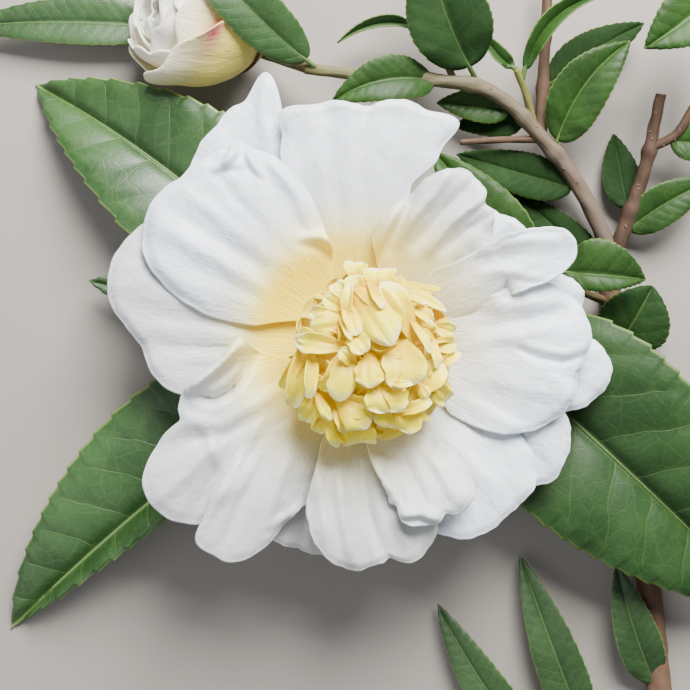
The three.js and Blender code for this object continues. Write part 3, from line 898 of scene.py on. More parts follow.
@dataclass(frozen=True)
class Petal:
    """One petal: where it points, its outline from its middle, and its relief."""

    name: str
    aim: float  # its bearing from the flower's axis, in degrees
    mid: float  # how far out its middle is
    level: float  # its layer, from 0 at the bottom
    twist: float  # how far its clockwise side rises and the other one falls
    reach: tuple[float, ...]  # middle to rim, every 45 degrees from outward; 0 is its foot
    dents: tuple[Spot, ...] = ()  # direction, depth and width of each dent, or lobe below 0
    folds: tuple[Fold, ...] = ()
    bulge: float = 0.6  # how far its middle rises
    wave: float = 0.35  # how strongly its rim waves
    curl: float = -0.5  # how far its outer rim rises, or falls below 0
    tucks: tuple[Spot, ...] = ()  # direction, drop and width of each stretch that hangs
    ivory: float = 0.0  # how far its white is darkened toward the finish's grey, as painted shade
    seed: int = 0

    def rim(self, turn: Grid) -> Grid:
        """Return how far the rim is from the petal's middle.

        Args:
            turn: Directions in degrees, anticlockwise from straight outward.
        Returns:
            The distances.
        """
        reach = np.array([value or self.mid - FOOT_RADIUS for value in self.reach])
        step = (turn % 360) / 45
        i = np.floor(step).astype(int)
        t = step - i
        a, b, c, d = (reach[(i + k) % 8] for k in (7, 0, 1, 2))
        out = b + 0.5 * t * (c - a + t * (2 * a - 5 * b + 4 * c - d + t * (3 * (b - c) + d - a)))
        for at, depth, width in self.dents:
            out = out - depth * hump(off_from(turn, at), width)
        return np.maximum(out, 2)

    def solid(self) -> Solid:
        """Build the petal.

        Returns:
            The closed shape.
        """
        rng = np.random.default_rng(100 + self.seed)
        share = 1 - (1 - np.arange(PETAL_RINGS + 1) / PETAL_RINGS) ** 1.25
        share, turn = np.meshgrid(share, np.arange(PETAL_AROUND) * 360 / PETAL_AROUND,
                                  indexing="ij")
        angle = np.radians(turn)
        phase = rng.uniform(0, FULL_TURN, 6)
        crimp = 0.10 * np.sin(angle * 13 + phase[0]) + 0.05 * np.sin(angle * 29 + phase[1])
        reach = (self.rim(turn) + crimp * (np.cos(angle) > -0.3)) * share
        along = reach * np.cos(angle)
        widest = max(self.reach[2], self.reach[6])
        squeeze = np.clip((self.mid + along - 4) / 14, 0.25, 1)
        across = reach * np.sin(angle) * squeeze
        aim = math.radians(self.aim)
        x = (self.mid + along) * math.cos(aim) - across * math.sin(aim)
        y = (self.mid + along) * math.sin(aim) + across * math.cos(aim)
        far = np.hypot(x, y)
        z = (FOOT_HEIGHT + 1.3 * self.level
             + 9 * (1 - np.exp(-np.maximum(far - FOOT_RADIUS, 0) / 16))
             + 0.9 * self.level * smooth((far - 8) / 30)
             - self.twist * across / widest * smooth((far - 9) / 18))
        z = z + self.relief(x, y, z, share, turn, far, phase, rng)
        points = np.stack([x, y, z], axis=-1)
        bearing = np.degrees(np.arctan2(y, x))
        # Painted glow near the throat, stronger on the side toward 148 degrees.
        glow = smooth((31 - far) / 13) * (0.56 + 0.44 * np.cos(np.radians(bearing - 148)))
        chart = np.stack([off_from(bearing, self.aim) * 0.42, far], axis=-1)
        rest = np.zeros(1 + PETAL_RINGS * PETAL_AROUND)
        # The mark on the last line below is the petal's painted shade.
        marks = {"glow": np.concatenate([[glow[0, 0]], glow[1:].ravel()]), "cream": rest,
                 "blush": rest, "ivory": rest + self.ivory}
        flat = np.concatenate([chart[0, :1], chart[1:].reshape(-1, 2)])
        return Skin.disc(points[0, 0], points[1:], marks, flat).thickened(PETAL_THICKNESS)

    def relief(self, x: Grid, y: Grid, z: Grid, share: Grid, turn: Grid, far: Grid,
               phase: Grid, rng: np.random.Generator) -> Grid:
        """Return the lift of folds, waves and the curled rim.

        Args:
            x, y, z: The plain surface.
            share: 0 in the middle to 1 at the rim.
            turn: The direction from the middle.
            far: The distance from the flower's axis.
            phase: Random phases of this petal.
            rng: Its random numbers.
        Returns:
            The lift in millimetres.
        """
        seen = VIEW.pixels(np.stack([x, y, z], axis=-1))
        lift = sum((fold.height(seen) for fold in self.folds), np.zeros_like(x))
        clear = smooth((far - 15) / 8)
        angle = np.radians(turn)
        lift = lift + clear * self.bulge * (1 - share ** 2)
        lift = lift + clear * self.wave * share ** 3 * (
            np.sin(angle * 5 + phase[2]) + 0.6 * np.sin(angle * 9 + phase[3]))
        for at, drop, width in self.tucks:
            lift = lift - drop * hump(off_from(turn, at), width) * share ** 1.5
        front = smooth((np.cos(angle) + 0.5) / 0.8)
        lift = lift + self.curl * front * smooth((share - 0.82) / 0.18) ** 2
        bearing = np.arctan2(y, x)
        for k in range(5):
            spin = 11 + 7 * k + rng.uniform(0, 4)
            lift = lift + clear * (0.22 / (1 + 0.6 * k)) * np.sin(
                bearing * spin + rng.uniform(0, FULL_TURN) + 0.05 * far) * smooth((far - 16) / 16)
        for _ in range(4):
            heading = math.radians(self.aim + rng.uniform(45, 135))
            size = rng.uniform(3.0, 8.0)
            ripple = np.sin((x * math.cos(heading) + y * math.sin(heading)) * FULL_TURN / size
                            + 2.2 * np.sin(0.22 * (x * math.sin(heading) - y * math.cos(heading))
                                           + rng.uniform(0, FULL_TURN)))
            lift = lift + clear * 0.006 * size * ripple * np.abs(ripple)
        return lift


def fold(rise: float, width: float, *path: Pixel) -> Fold:
    """Return a fold of some rise and width along a path of pixels."""
    return Fold(path, rise, width)


PETALS = (
    Petal("petal_top", 90, 38, 1.6, 0, (8.2, 12.4, 16.3, 17, 0, 12, 14.3, 12.6),
          ((66, -3.4, 12), (-73, -4.6, 11)),
          (fold(0.5, 2.6, (322, 130), (336, 190), (345, 250)),
           fold(-0.4, 2.4, (365, 125), (362, 190), (358, 250)),
           fold(0.5, 2.2, (405, 118), (388, 180), (370, 250)),
           fold(0.5, 1.4, (286, 112), (340, 104), (400, 104), (452, 116))),
          bulge=0.9, wave=0.25, curl=-0.9, ivory=0.15, seed=1),
    Petal("petal_top_back", 120, 38, 0, 0, (16.8, 15.4, 18, 12, 0, 11, 10, 9.8),
          ((-29.6, -8.4, 11.8), (13.5, 2.3, 19)),
          (fold(0.8, 1.2, (266, 76), (262, 110), (270, 150)),), wave=0.1, seed=2),
    Petal("petal_upper_left", 136, 30, 2.6, 0, (18.3, 21.5, 18.1, 17, 0, 14, 13.7, 16.8),
          ((-37, -1.4, 6), (4, 0.7, 7)),
          (fold(1.9, 0.7, (232, 138), (235, 150), (228, 163), (216, 170)),
           fold(1.7, 0.7, (249, 142), (249, 153), (254, 165), (262, 176)),
           fold(-1.1, 0.7, (241, 138), (242, 150), (240, 161)),
           fold(-0.6, 0.8, (214, 160), (226, 170), (240, 172), (250, 166)),
           fold(0.5, 1.1, (268, 150), (285, 178), (300, 200), (310, 226)),
           fold(-0.4, 1.4, (248, 150), (270, 182), (292, 214), (312, 242)),
           fold(0.5, 1.5, (185, 190), (225, 222), (275, 262)),
           fold(-0.45, 1.3, (206, 160), (222, 180), (236, 200), (262, 226)),
           fold(0.4, 1.6, (152, 222), (200, 250), (262, 285)),
           fold(-0.4, 1.3, (166, 205), (205, 232), (262, 268)),
           fold(1.5, 0.9, (303, 238), (320, 237), (333, 243), (341, 257), (346, 270)),
           fold(-0.8, 1.0, (300, 246), (316, 247), (328, 254), (336, 268)),
           fold(0.8, 1.1, (182, 182), (205, 160), (232, 140))),
          bulge=1.5, wave=0.4, curl=-1.1, seed=3),
    Petal("petal_left", 167, 34, 1.2, 0, (17.5, 13.2, 17.3, 14, 0, 13, 17, 18.8), (),
          (fold(0.5, 3.0, (125, 270), (170, 300), (230, 320)),), bulge=0.9, wave=0.25,
          curl=-0.8, ivory=0.7, seed=4),
    Petal("petal_lower_left", 215, 30, 3, 2.3, (20.9, 17.4, 13, 12, 0, 16, 14, 12.4),
          ((-126, -3.2, 8), (-50, 1, 7)),
          (fold(4.6, 1.1, (247, 336), (229, 357), (209, 374), (190, 389)),
           fold(-3.5, 0.85, (198, 396), (213, 399), (229, 391), (244, 374), (254, 354)),
           fold(0.8, 1.4, (184, 420), (220, 424), (262, 402), (300, 378)),
           fold(-0.8, 1.4, (190, 440), (220, 438), (252, 420)),
           fold(0.9, 1.2, (206, 428), (214, 446), (220, 466)),
           fold(-1.0, 1.7, (186, 524), (208, 492), (226, 456), (246, 420)),
           fold(0.7, 1.4, (158, 500), (190, 472), (215, 440))),
          bulge=1.0, wave=0.45, curl=-0.5, ivory=0.7, seed=5),
    Petal("petal_bottom_left", 236, 32, 3.4, 2.4, (17, 8.6, 7.2, 9, 0, 12.5, 9.2, 11.5),
          ((-20, -2.2, 10),),
          (fold(1.0, 1.4, (196, 530), (219, 497), (239, 457), (262, 414)),
           fold(-0.9, 1.3, (222, 545), (248, 490), (275, 440)),
           fold(0.8, 1.3, (262, 535), (275, 490), (295, 445)),
           fold(1.0, 1.0, (272, 524), (288, 516), (304, 506))),
          bulge=0.6, wave=0.4, curl=-0.3, tucks=((245, 2.0, 55), (200, 1.6, 40)), ivory=0.8,
          seed=6),
    Petal("petal_bottom_back", 251, 34, 0, 0, (8.3, 10, 11, 11, 0, 11, 11, 10), ivory=0.9, seed=7),
    Petal("petal_bottom", 273, 32, 3.8, 1.5, (9.4, 12.2, 12, 12, 0, 14.6, 12.8, 12),
          ((16, 1.4, 8), (-22, -1, 13)),
          (fold(1.1, 1.2, (338, 462), (342, 510), (352, 560)),
           fold(-1.0, 1.2, (362, 470), (370, 515), (384, 556)),
           fold(0.8, 1.2, (318, 470), (322, 510), (330, 545)),
           fold(0.8, 1.2, (382, 480), (396, 520), (410, 550))),
          bulge=0.7, wave=0.4, curl=-0.5, ivory=0.9, seed=8),
    Petal("petal_front", 293, 26, 5, 1.2, (10, 10.8, 7.8, 7.6, 0, 10.5, 7.2, 9.6),
          ((8, 1, 7), (-58, 1.3, 7)),
          (fold(1.2, 1.0, (372, 452), (380, 474), (392, 492), (400, 510)),
           fold(-0.8, 1.2, (396, 448), (414, 480), (428, 510)),
           fold(1.3, 1.0, (400, 514), (420, 512), (440, 520)),
           fold(-0.8, 0.8, (402, 520), (420, 519), (438, 526)),
           fold(0.8, 1.2, (420, 445), (440, 470), (455, 500))),
          bulge=0.6, wave=0.45, curl=-0.4, ivory=0.6, seed=9),
    Petal("petal_lower_right", 310, 32, 2, 0, (10.7, 12.4, 11.6, 11.5, 0, 12, 13.8, 12.8), (),
          (fold(0.6, 2.0, (455, 440), (490, 480), (510, 520)),
           fold(0.5, 2.0, (470, 430), (510, 450), (530, 480))), bulge=0.9, wave=0.35, seed=10),
    Petal("petal_right_low_back", 332, 34, 1, 0, (10.6, 9.3, 9, 9, 0, 9, 10, 11.8),
          ((-31, -0.7, 10),), (fold(0.5, 1.8, (510, 430), (545, 450), (560, 470)),), seed=11),
    Petal("petal_right", 353, 32, 3, 0, (9.2, 13.6, 16, 16, 0, 17, 12.9, 10.6), (),
          (fold(-0.8, 0.8, (518, 350), (538, 358), (562, 362), (584, 356)),
           fold(0.6, 0.9, (522, 343), (544, 350), (566, 353), (584, 347)),
           fold(0.45, 1.3, (470, 345), (520, 334), (575, 322)),
           fold(-0.4, 1.2, (480, 330), (530, 318), (570, 306)),
           fold(0.45, 1.5, (470, 375), (520, 388), (560, 396)),
           fold(-0.4, 1.4, (465, 390), (500, 410), (530, 424)),
           fold(0.9, 1.2, (484, 282), (488, 292), (500, 300)),
           fold(0.7, 1.3, (455, 300), (500, 306), (560, 300))),
          bulge=1.1, wave=0.4, curl=-0.7, seed=12),
    Petal("petal_right_back", 354, 38, 0, 0, (10.6, 8.6, 8.5, 9, 0, 9, 9, 9.7), seed=13),
    Petal("petal_right_mid_back", 13, 36, 1, 0, (7.6, 6.6, 7, 8, 0, 8, 6.5, 6), seed=16),
    Petal("petal_upper_right", 26, 30, 4, 0, (13.9, 9, 7.1, 9.5, 0, 4.6, 3.6, 5.6), (),
          (fold(0.6, 1.0, (480, 274), (500, 271), (520, 273), (546, 279)),
           fold(-0.6, 1.5, (470, 264), (500, 258), (555, 254)),
           fold(0.6, 1.2, (470, 252), (520, 240), (566, 238))),
          bulge=0.2, wave=0.25, curl=0.4, tucks=((222, 3.4, 42), (180, 1.2, 50)), seed=14),
    Petal("petal_upper_right_back", 44, 30, 0, 0, (7.2, 7, 8, 9, 0, 9, 10, 11), seed=15),
    Petal("petal_upper_ruffled", 55, 28, 3, 0, (10, 10.3, 9.8, 15.5, 0, 9, 8.8, 8.4),
          ((-22, 1.5, 8), (21, -0.9, 10)),
          (fold(1.9, 1.0, (400, 206), (386, 230), (376, 252)),
           fold(1.9, 1.2, (449, 172), (432, 196), (414, 216), (398, 240)),
           fold(2.0, 1.1, (486, 196), (466, 210), (448, 226), (430, 250)),
           fold(-1.4, 1.1, (418, 187), (404, 215), (388, 248)),
           fold(-1.4, 1.1, (470, 184), (446, 208), (416, 244)),
           fold(-1.0, 1.0, (492, 214), (470, 228), (446, 248))),
          bulge=0.4, wave=0.5, curl=-0.5, ivory=0.6, seed=17),
)


@dataclass
class Corolla:
    """The seventeen big white petals."""

    bench: Workbench
    finish: PetalFinish = PetalFinish()
    petals: tuple[Petal, ...] = PETALS

    def build(self) -> None:
        """Build every petal."""
        material = self.finish.make("white petal")
        for petal in self.petals:
            self.bench.add(f"v_{petal.name}", petal.solid(), material, Slot.PETAL, petal.name)


# The middle of small petals


@dataclass(frozen=True)
class Spoon:
    """One small petal seen in the photograph: from its foot to its tip, in pixels."""

    foot: Pixel
    tip: Pixel
    width: float  # in pixels
    lift: float  # how far its foot stands above the dome
    rise: float  # how far its tip does
    cup: float  # how far its edges rise, as a share of its half width, or fall below 0
    roll: float  # its turn about its length, in radians
    tone: float  # how yellow it is
    pale: float = 1.0  # how far its colour runs from the foot's to the tip's


SPOONS = (
    Spoon((357, 286), (393, 345), 36, 2.6, 2.1, -0.6, 0, 0.0),
    Spoon((345, 317), (350, 284), 12, 1.0, 1.0, 0.4, 0.4, 0.05),
    Spoon((371, 286), (383, 308), 10, 3.0, 2.6, 0.4, 0.3, 0.3),
    Spoon((412, 334), (384, 282), 27, 0.5, 0.4, 0.35, -0.5, 0.1),
    Spoon((392, 284), (446, 311), 13, 0.0, 0.6, 0.4, 0.6, 0.05),
    Spoon((396, 294), (428, 304), 8, 0.6, 1.2, 0.4, 0.8, 0.0),
    Spoon((398, 345), (408, 386), 42, 0.0, 0.2, 0.25, 0, 0.65),
    Spoon((390, 384), (412, 384), 7, 1.6, 1.6, 0.3, 0.5, 0.0),
    Spoon((370, 358), (370, 388), 28, 0.8, 1.4, -0.35, 0, 0.05),
    Spoon((346, 352), (338, 401), 28, 0.2, 0.5, -0.3, -0.1, 0.25),
    Spoon((344, 322), (311, 325), 25, 0.3, 0.8, -0.3, 0, 0.3),
    Spoon((338, 346), (296, 341), 20, 0.6, 0.8, 0.35, 0, 0.1),
    Spoon((303, 350), (292, 406), 20, 0.4, 0.2, 0.55, 0.1, 0.2),
    Spoon((312, 352), (309, 398), 14, 0.6, 0.9, 0.4, 0.4, 0.15),
    Spoon((318, 396), (305, 421), 20, 0.2, 0.2, 0.3, 0, 0.45),
    Spoon((317, 396), (331, 420), 11, 0.9, 1.6, -0.3, 0.2, 0.1),
    Spoon((326, 413), (338, 447), 13, 0.6, 0.8, -0.3, 0.2, 0.1),
    Spoon((336, 408), (346, 432), 12, 0.4, 0.6, 0.3, 0, 0.6),
    Spoon((342, 400), (368, 428), 31, 0.4, 0.8, -0.3, 0, 0.25),
    Spoon((362, 424), (362, 442), 28, -0.2, 0.2, 0.3, 0, 0.6),
    Spoon((386, 384), (388, 412), 42, -0.2, 0.4, 0.25, 0, 0.45),
    Spoon((402, 413), (431, 401), 13, 0.4, 1.2, 0.4, 0.4, 0.4),
    Spoon((416, 390), (443, 364), 26, -0.2, 0.2, 0.35, 0, 0.75),
    Spoon((420, 386), (428, 397), 13, 0.8, 1.0, -0.4, 0, 0.2),
    Spoon((440, 366), (458, 352), 11, 0.2, 0.6, 0.4, 0.2, 0.1),
    Spoon((430, 334), (437, 368), 11, 0.2, 0.8, 0.4, 0.6, 0.35),
    Spoon((412, 320), (430, 353), 10, 0.7, 1.4, 0.35, 0.7, 0.0),
    Spoon((427, 333), (431, 321), 15, 0.6, 1.4, -0.4, 0, 0.05),
    Spoon((436, 327), (454, 332), 15, 0.0, 0.4, 0.35, 0, 0.3),
    Spoon((412, 304), (432, 323), 13, 0.2, 0.4, 0.4, 0.4, 0.4),
    Spoon((356, 276), (355, 263), 22, 0.0, 0.2, 0.3, 0, 0.3),
    Spoon((379, 286), (379, 269), 30, 0.2, 0.6, 0.3, 0, 0.05),
    Spoon((356, 292), (353, 276), 20, 0.4, 0.8, 0.35, 0, 0.25),
    Spoon((347, 300), (336, 283), 18, 0.2, 0.6, 0.35, 0, 0.25),
    Spoon((342, 308), (324, 297), 15, 0.2, 0.6, 0.4, 0, 0.3),
    Spoon((334, 318), (311, 312), 15, 0.0, 0.6, 0.4, 0, 0.25),
    Spoon((320, 340), (298, 334), 15, 0.0, 0.4, 0.4, 0, 0.3),
    Spoon((348, 303), (357, 335), 19, 0.2, 0.4, 0.3, 0.2, 0.35),
    Spoon((352, 332), (364, 353), 21, 0.4, 0.6, 0.3, 0, 0.75),
    Spoon((354, 363), (340, 350), 14, 0.0, 0.4, 0.3, 0, 0.8),
    Spoon((339, 316), (351, 340), 7, 0.6, 0.9, 0.3, 0.5, 0.5),
    Spoon((402, 408), (396, 428), 46, -0.8, -0.4, 0.25, 0, 0.75),
    Spoon((430, 384), (447, 400), 22, -0.6, 0.0, 0.3, 0, 0.7),
    Spoon((436, 345), (456, 344), 17, -0.3, 0.2, 0.35, 0, 0.6),
    Spoon((340, 425), (352, 444), 16, -0.4, 0.2, 0.3, 0, 0.6),
    Spoon((322, 415), (318, 432), 14, -0.3, 0.3, 0.3, 0, 0.5),
    Spoon((300, 372), (289, 388), 14, -0.6, 0.0, 0.3, 0, 0.4),
)


@dataclass
class Middle:
    """The crowded dome of small petals: placed ones where the photograph shows them, and fill."""

    bench: Workbench
    finish: PetaloidFinish = PetaloidFinish()
    # The fill below has twice the painted glow.
    depth_finish: PetaloidFinish = PetaloidFinish(foot=linear(222, 164, 0),
                                                  middle=linear(232, 194, 0),
                                                  tip=linear(255, 240, 100),
                                                  warm=linear(230, 194, 0), painted_glow_strength=0.2)
    centre: tuple[float, float] = (1.0, -1.6)
    radius: float = 16.3
    widest: float = 31.0
    top: float = 42.0
    fill: int = 150
    below: int = 90
    neck: tuple[float, float] = (19.0, 7.9)  # the dome's foot: its height and radius
    inset: float = 2.9
    kinds: tuple[Spot, ...] = ((6.4, 4.4, 0.4), (7.4, 5.4, 0.3), (5.6, 3.6, 0.5),
                               (6.8, 4.8, -0.3))  # length, width and cup
    spoons: tuple[Spoon, ...] = SPOONS

    def dome(self, far: Grid) -> Grid:
        """Return the dome's height at a distance from its middle."""
        share = np.clip(far / self.radius, 0, 0.995)
        return self.widest + (self.top - self.widest) * np.sqrt(1 - share ** 2)

    def on_dome(self, pixel: Pixel, lift: float) -> Grid:
        """Find where a pixel's line of sight meets the dome.

        Args:
            pixel: The pixel.
            lift: How far above the dome.
        Returns:
            The design point.
        """
        height = 38.0  # a first guess, which each round brings closer
        for _ in range(6):
            point = VIEW.spot(pixel, height)
            far = math.hypot(point[0] - self.centre[0], point[1] - self.centre[1])
            height = float(self.dome(np.array(far))) + lift
        return VIEW.spot(pixel, height)

    @staticmethod
    def blade(foot: Grid, bend: Grid, tip: Grid, width: float, cup: float, roll: float,
              tone: float, rng: np.random.Generator, pale: float = 1.0, rows: int = 22,
              columns: int = 15) -> Solid:
        """Build one small petal along a bent line.

        Args:
            foot, bend, tip: The line's ends and the point that bends it.
            width: Its full width.
            cup: How far its edges rise, as a share of its half width, or fall below 0.
            roll: Its turn about its length, in radians.
            tone: How yellow it is.
            rng: Random numbers.
            pale: How far its colour runs from the foot's to the tip's.
            rows: Points along it.
            columns: Points across it.
        Returns:
            The closed shape.
        """
        s = 1 - (1 - np.linspace(0, 1, rows)[:, None]) ** 1.5
        t = np.linspace(-1, 1, columns)[None, :]
        line = (1 - s) ** 2 * foot + 2 * s * (1 - s) * bend + s ** 2 * tip
        run = unit(np.gradient(line, axis=0))
        side = unit(np.cross(run, np.array([0.0, 0.0, 1.0])))
        up = np.cross(side, run)
        side, up = (side * math.cos(roll) + up * math.sin(roll),
                    up * math.cos(roll) - side * math.sin(roll))
        round_tip = np.sqrt(np.clip(1 - np.clip((s - 0.64) / 0.364, 0, 1) ** 2.1, 0.004, 1))
        profile = (0.42 + 0.58 * smooth(s / 0.5)) * round_tip * width / 2
        nick = 1 + (0.08 * np.sin(t * rng.uniform(3, 6) + s * rng.uniform(5, 10)
                                  + rng.uniform(0, 6))
                    + 0.05 * np.sin(s * rng.uniform(16, 24) + np.sign(t) * rng.uniform(0, 3))
                    ) * smooth((s - 0.3) / 0.4)
        crease = rng.uniform(-0.35, 0.35)
        calm = min(1.0, max(0.35, 3.4 / width))
        wave = 0.22 * np.sin(s * rng.uniform(7, 13) + np.sign(t) * rng.uniform(0, 3)) * t ** 2 \
            + 0.09 * np.sin(t * rng.uniform(4, 8) + s * rng.uniform(0, 4) + rng.uniform(0, 6))
        lift = cup * (t ** 2) + calm * wave * smooth((s - 0.25) / 0.5) \
            - 0.22 * calm * hump(t - crease, 0.2) * smooth(s / 0.3) * (1 - 0.5 * s)
        points = (line[:, None, :] * np.ones_like(t)[..., None]
                  + side[:, None, :] * (t * profile * nick)[..., None]
                  + up[:, None, :] * (lift * profile)[..., None])
        reach = np.broadcast_to(s, points.shape[:2]) * 0.9 + 0.16 * t ** 4 - 0.03
        marks = {"reach": reach * pale, "tone": np.full(points.shape[:2], tone)}
        flat = np.stack([t * profile * 1.4, s * 9 * np.ones_like(t)], axis=-1)
        return Skin.sheet(points, marks, flat).thickened(0.2)

    def placed(self, spoon: Spoon, rng: np.random.Generator) -> Solid:
        """Build a small petal that the photograph shows.

        Args:
            spoon: Its pixels and shape.
            rng: Random numbers.
        Returns:
            The closed shape.
        """
        tip = self.on_dome(spoon.tip, spoon.rise)
        foot = self.on_dome(spoon.foot, spoon.lift)
        length = float(np.linalg.norm(tip - foot))
        width = spoon.width * (VIEW.eye[2] - tip[2]) / VIEW.focal
        root = foot + (foot - tip) * 0.18 - np.array([0, 0, 0.28 * length + 1.6])
        bend = (foot + tip) / 2 + np.array([0, 0, 0.32 * length])
        return self.blade(root, bend, tip, width, spoon.cup, spoon.roll, spoon.tone, rng,
                          spoon.pale)

    @staticmethod
    def companion(spoon: Spoon, rng: np.random.Generator) -> Spoon:
        """Make up a smaller petal that peeps out beside and below a placed one.

        Args:
            spoon: The placed one.
            rng: Random numbers.
        Returns:
            The smaller one's pixels and shape.
        """
        turn = math.radians(rng.choice([-1, 1]) * rng.uniform(16, 34))
        run = (spoon.tip[0] - spoon.foot[0], spoon.tip[1] - spoon.foot[1])
        size = rng.uniform(0.72, 0.95)
        tip = (spoon.foot[0] + size * (run[0] * math.cos(turn) - run[1] * math.sin(turn)),
               spoon.foot[1] + size * (run[0] * math.sin(turn) + run[1] * math.cos(turn)))
        return replace(spoon, tip=tip, width=spoon.width * rng.uniform(0.5, 0.75),
                       lift=spoon.lift - 1.5, rise=spoon.rise - rng.uniform(1.3, 2.0),
                       cup=rng.uniform(0.2, 0.6), roll=spoon.roll + rng.uniform(-0.6, 0.6),
                       tone=min(spoon.tone + 0.45, 0.95), pale=0.62)

    def build(self) -> None:
        """Build the placed small petals and the fill below and between them."""
        material = self.finish.make("small petal")
        rng = np.random.default_rng(7)
        parts = []
        for spoon in self.spoons:
            parts += [self.placed(spoon, rng), self.placed(self.companion(spoon, rng), rng)]
        self.bench.add("v_petaloids", Solid.joined(parts), material, Slot.PETALOID,
                       "petaloid_dome")
        self.build_fill(self.depth_finish.make("small petal below"))

    def build_fill(self, material: bpy.types.Material) -> None:
        """Scatter small petals over the dome, feet in and tips out.

        Args:
            material: Their finish.
        """
        rng = np.random.default_rng(21)
        kinds = []
        for k, (length, width, cup) in enumerate(self.kinds):
            made = self.blade(np.array([-0.6 * length, 0, -4.6]), np.array([-0.2 * length, 0, 0.8]),
                              np.array([0.55 * length, 0, 0.6]), width, cup, 0.0,
                              0.7 + 0.1 * k, rng, rows=9, columns=6)
            kinds.append(self.bench.mesh(f"small petal kind {k + 1}", self.bench.unplaced(made),
                                         material))
        share, turn = golden(self.fill)
        rise = 1 - share * 1.62
        ring = np.sqrt(np.clip(1 - rise ** 2, 0, 1))
        facing = polar(ring, turn, rise)
        tall = np.where(rise > 0, self.top - self.widest - 2.4, 7.0)
        wide = np.full(self.fill, self.radius - self.inset)
        points = np.array([*self.centre, self.widest]) + facing * np.stack([wide, wide, tall], -1)
        down, turn = golden(self.below)
        up = 1 - down
        ring = self.neck[1] + (self.radius - 5.0 - self.neck[1]) * up ** 1.6
        height = self.neck[0] + (self.widest - 3.0 - self.neck[0]) * up
        more = polar(ring, turn, height) + up[:, None] * np.array([*self.centre, 0.0])
        level = polar(1.0, turn, 0.1 - 0.5 * up)
        points, facing = np.concatenate([points, more]), np.concatenate([facing, unit(level)])
        scatter = Scatter(self.bench, kinds, size=(0.8, 1.15), lean=0.5, seed=5)
        piece = scatter.build("v_petaloid_fill", points, facing, material)
        self.bench.hand_in(piece, Slot.PETALOID, "petaloid_dome")


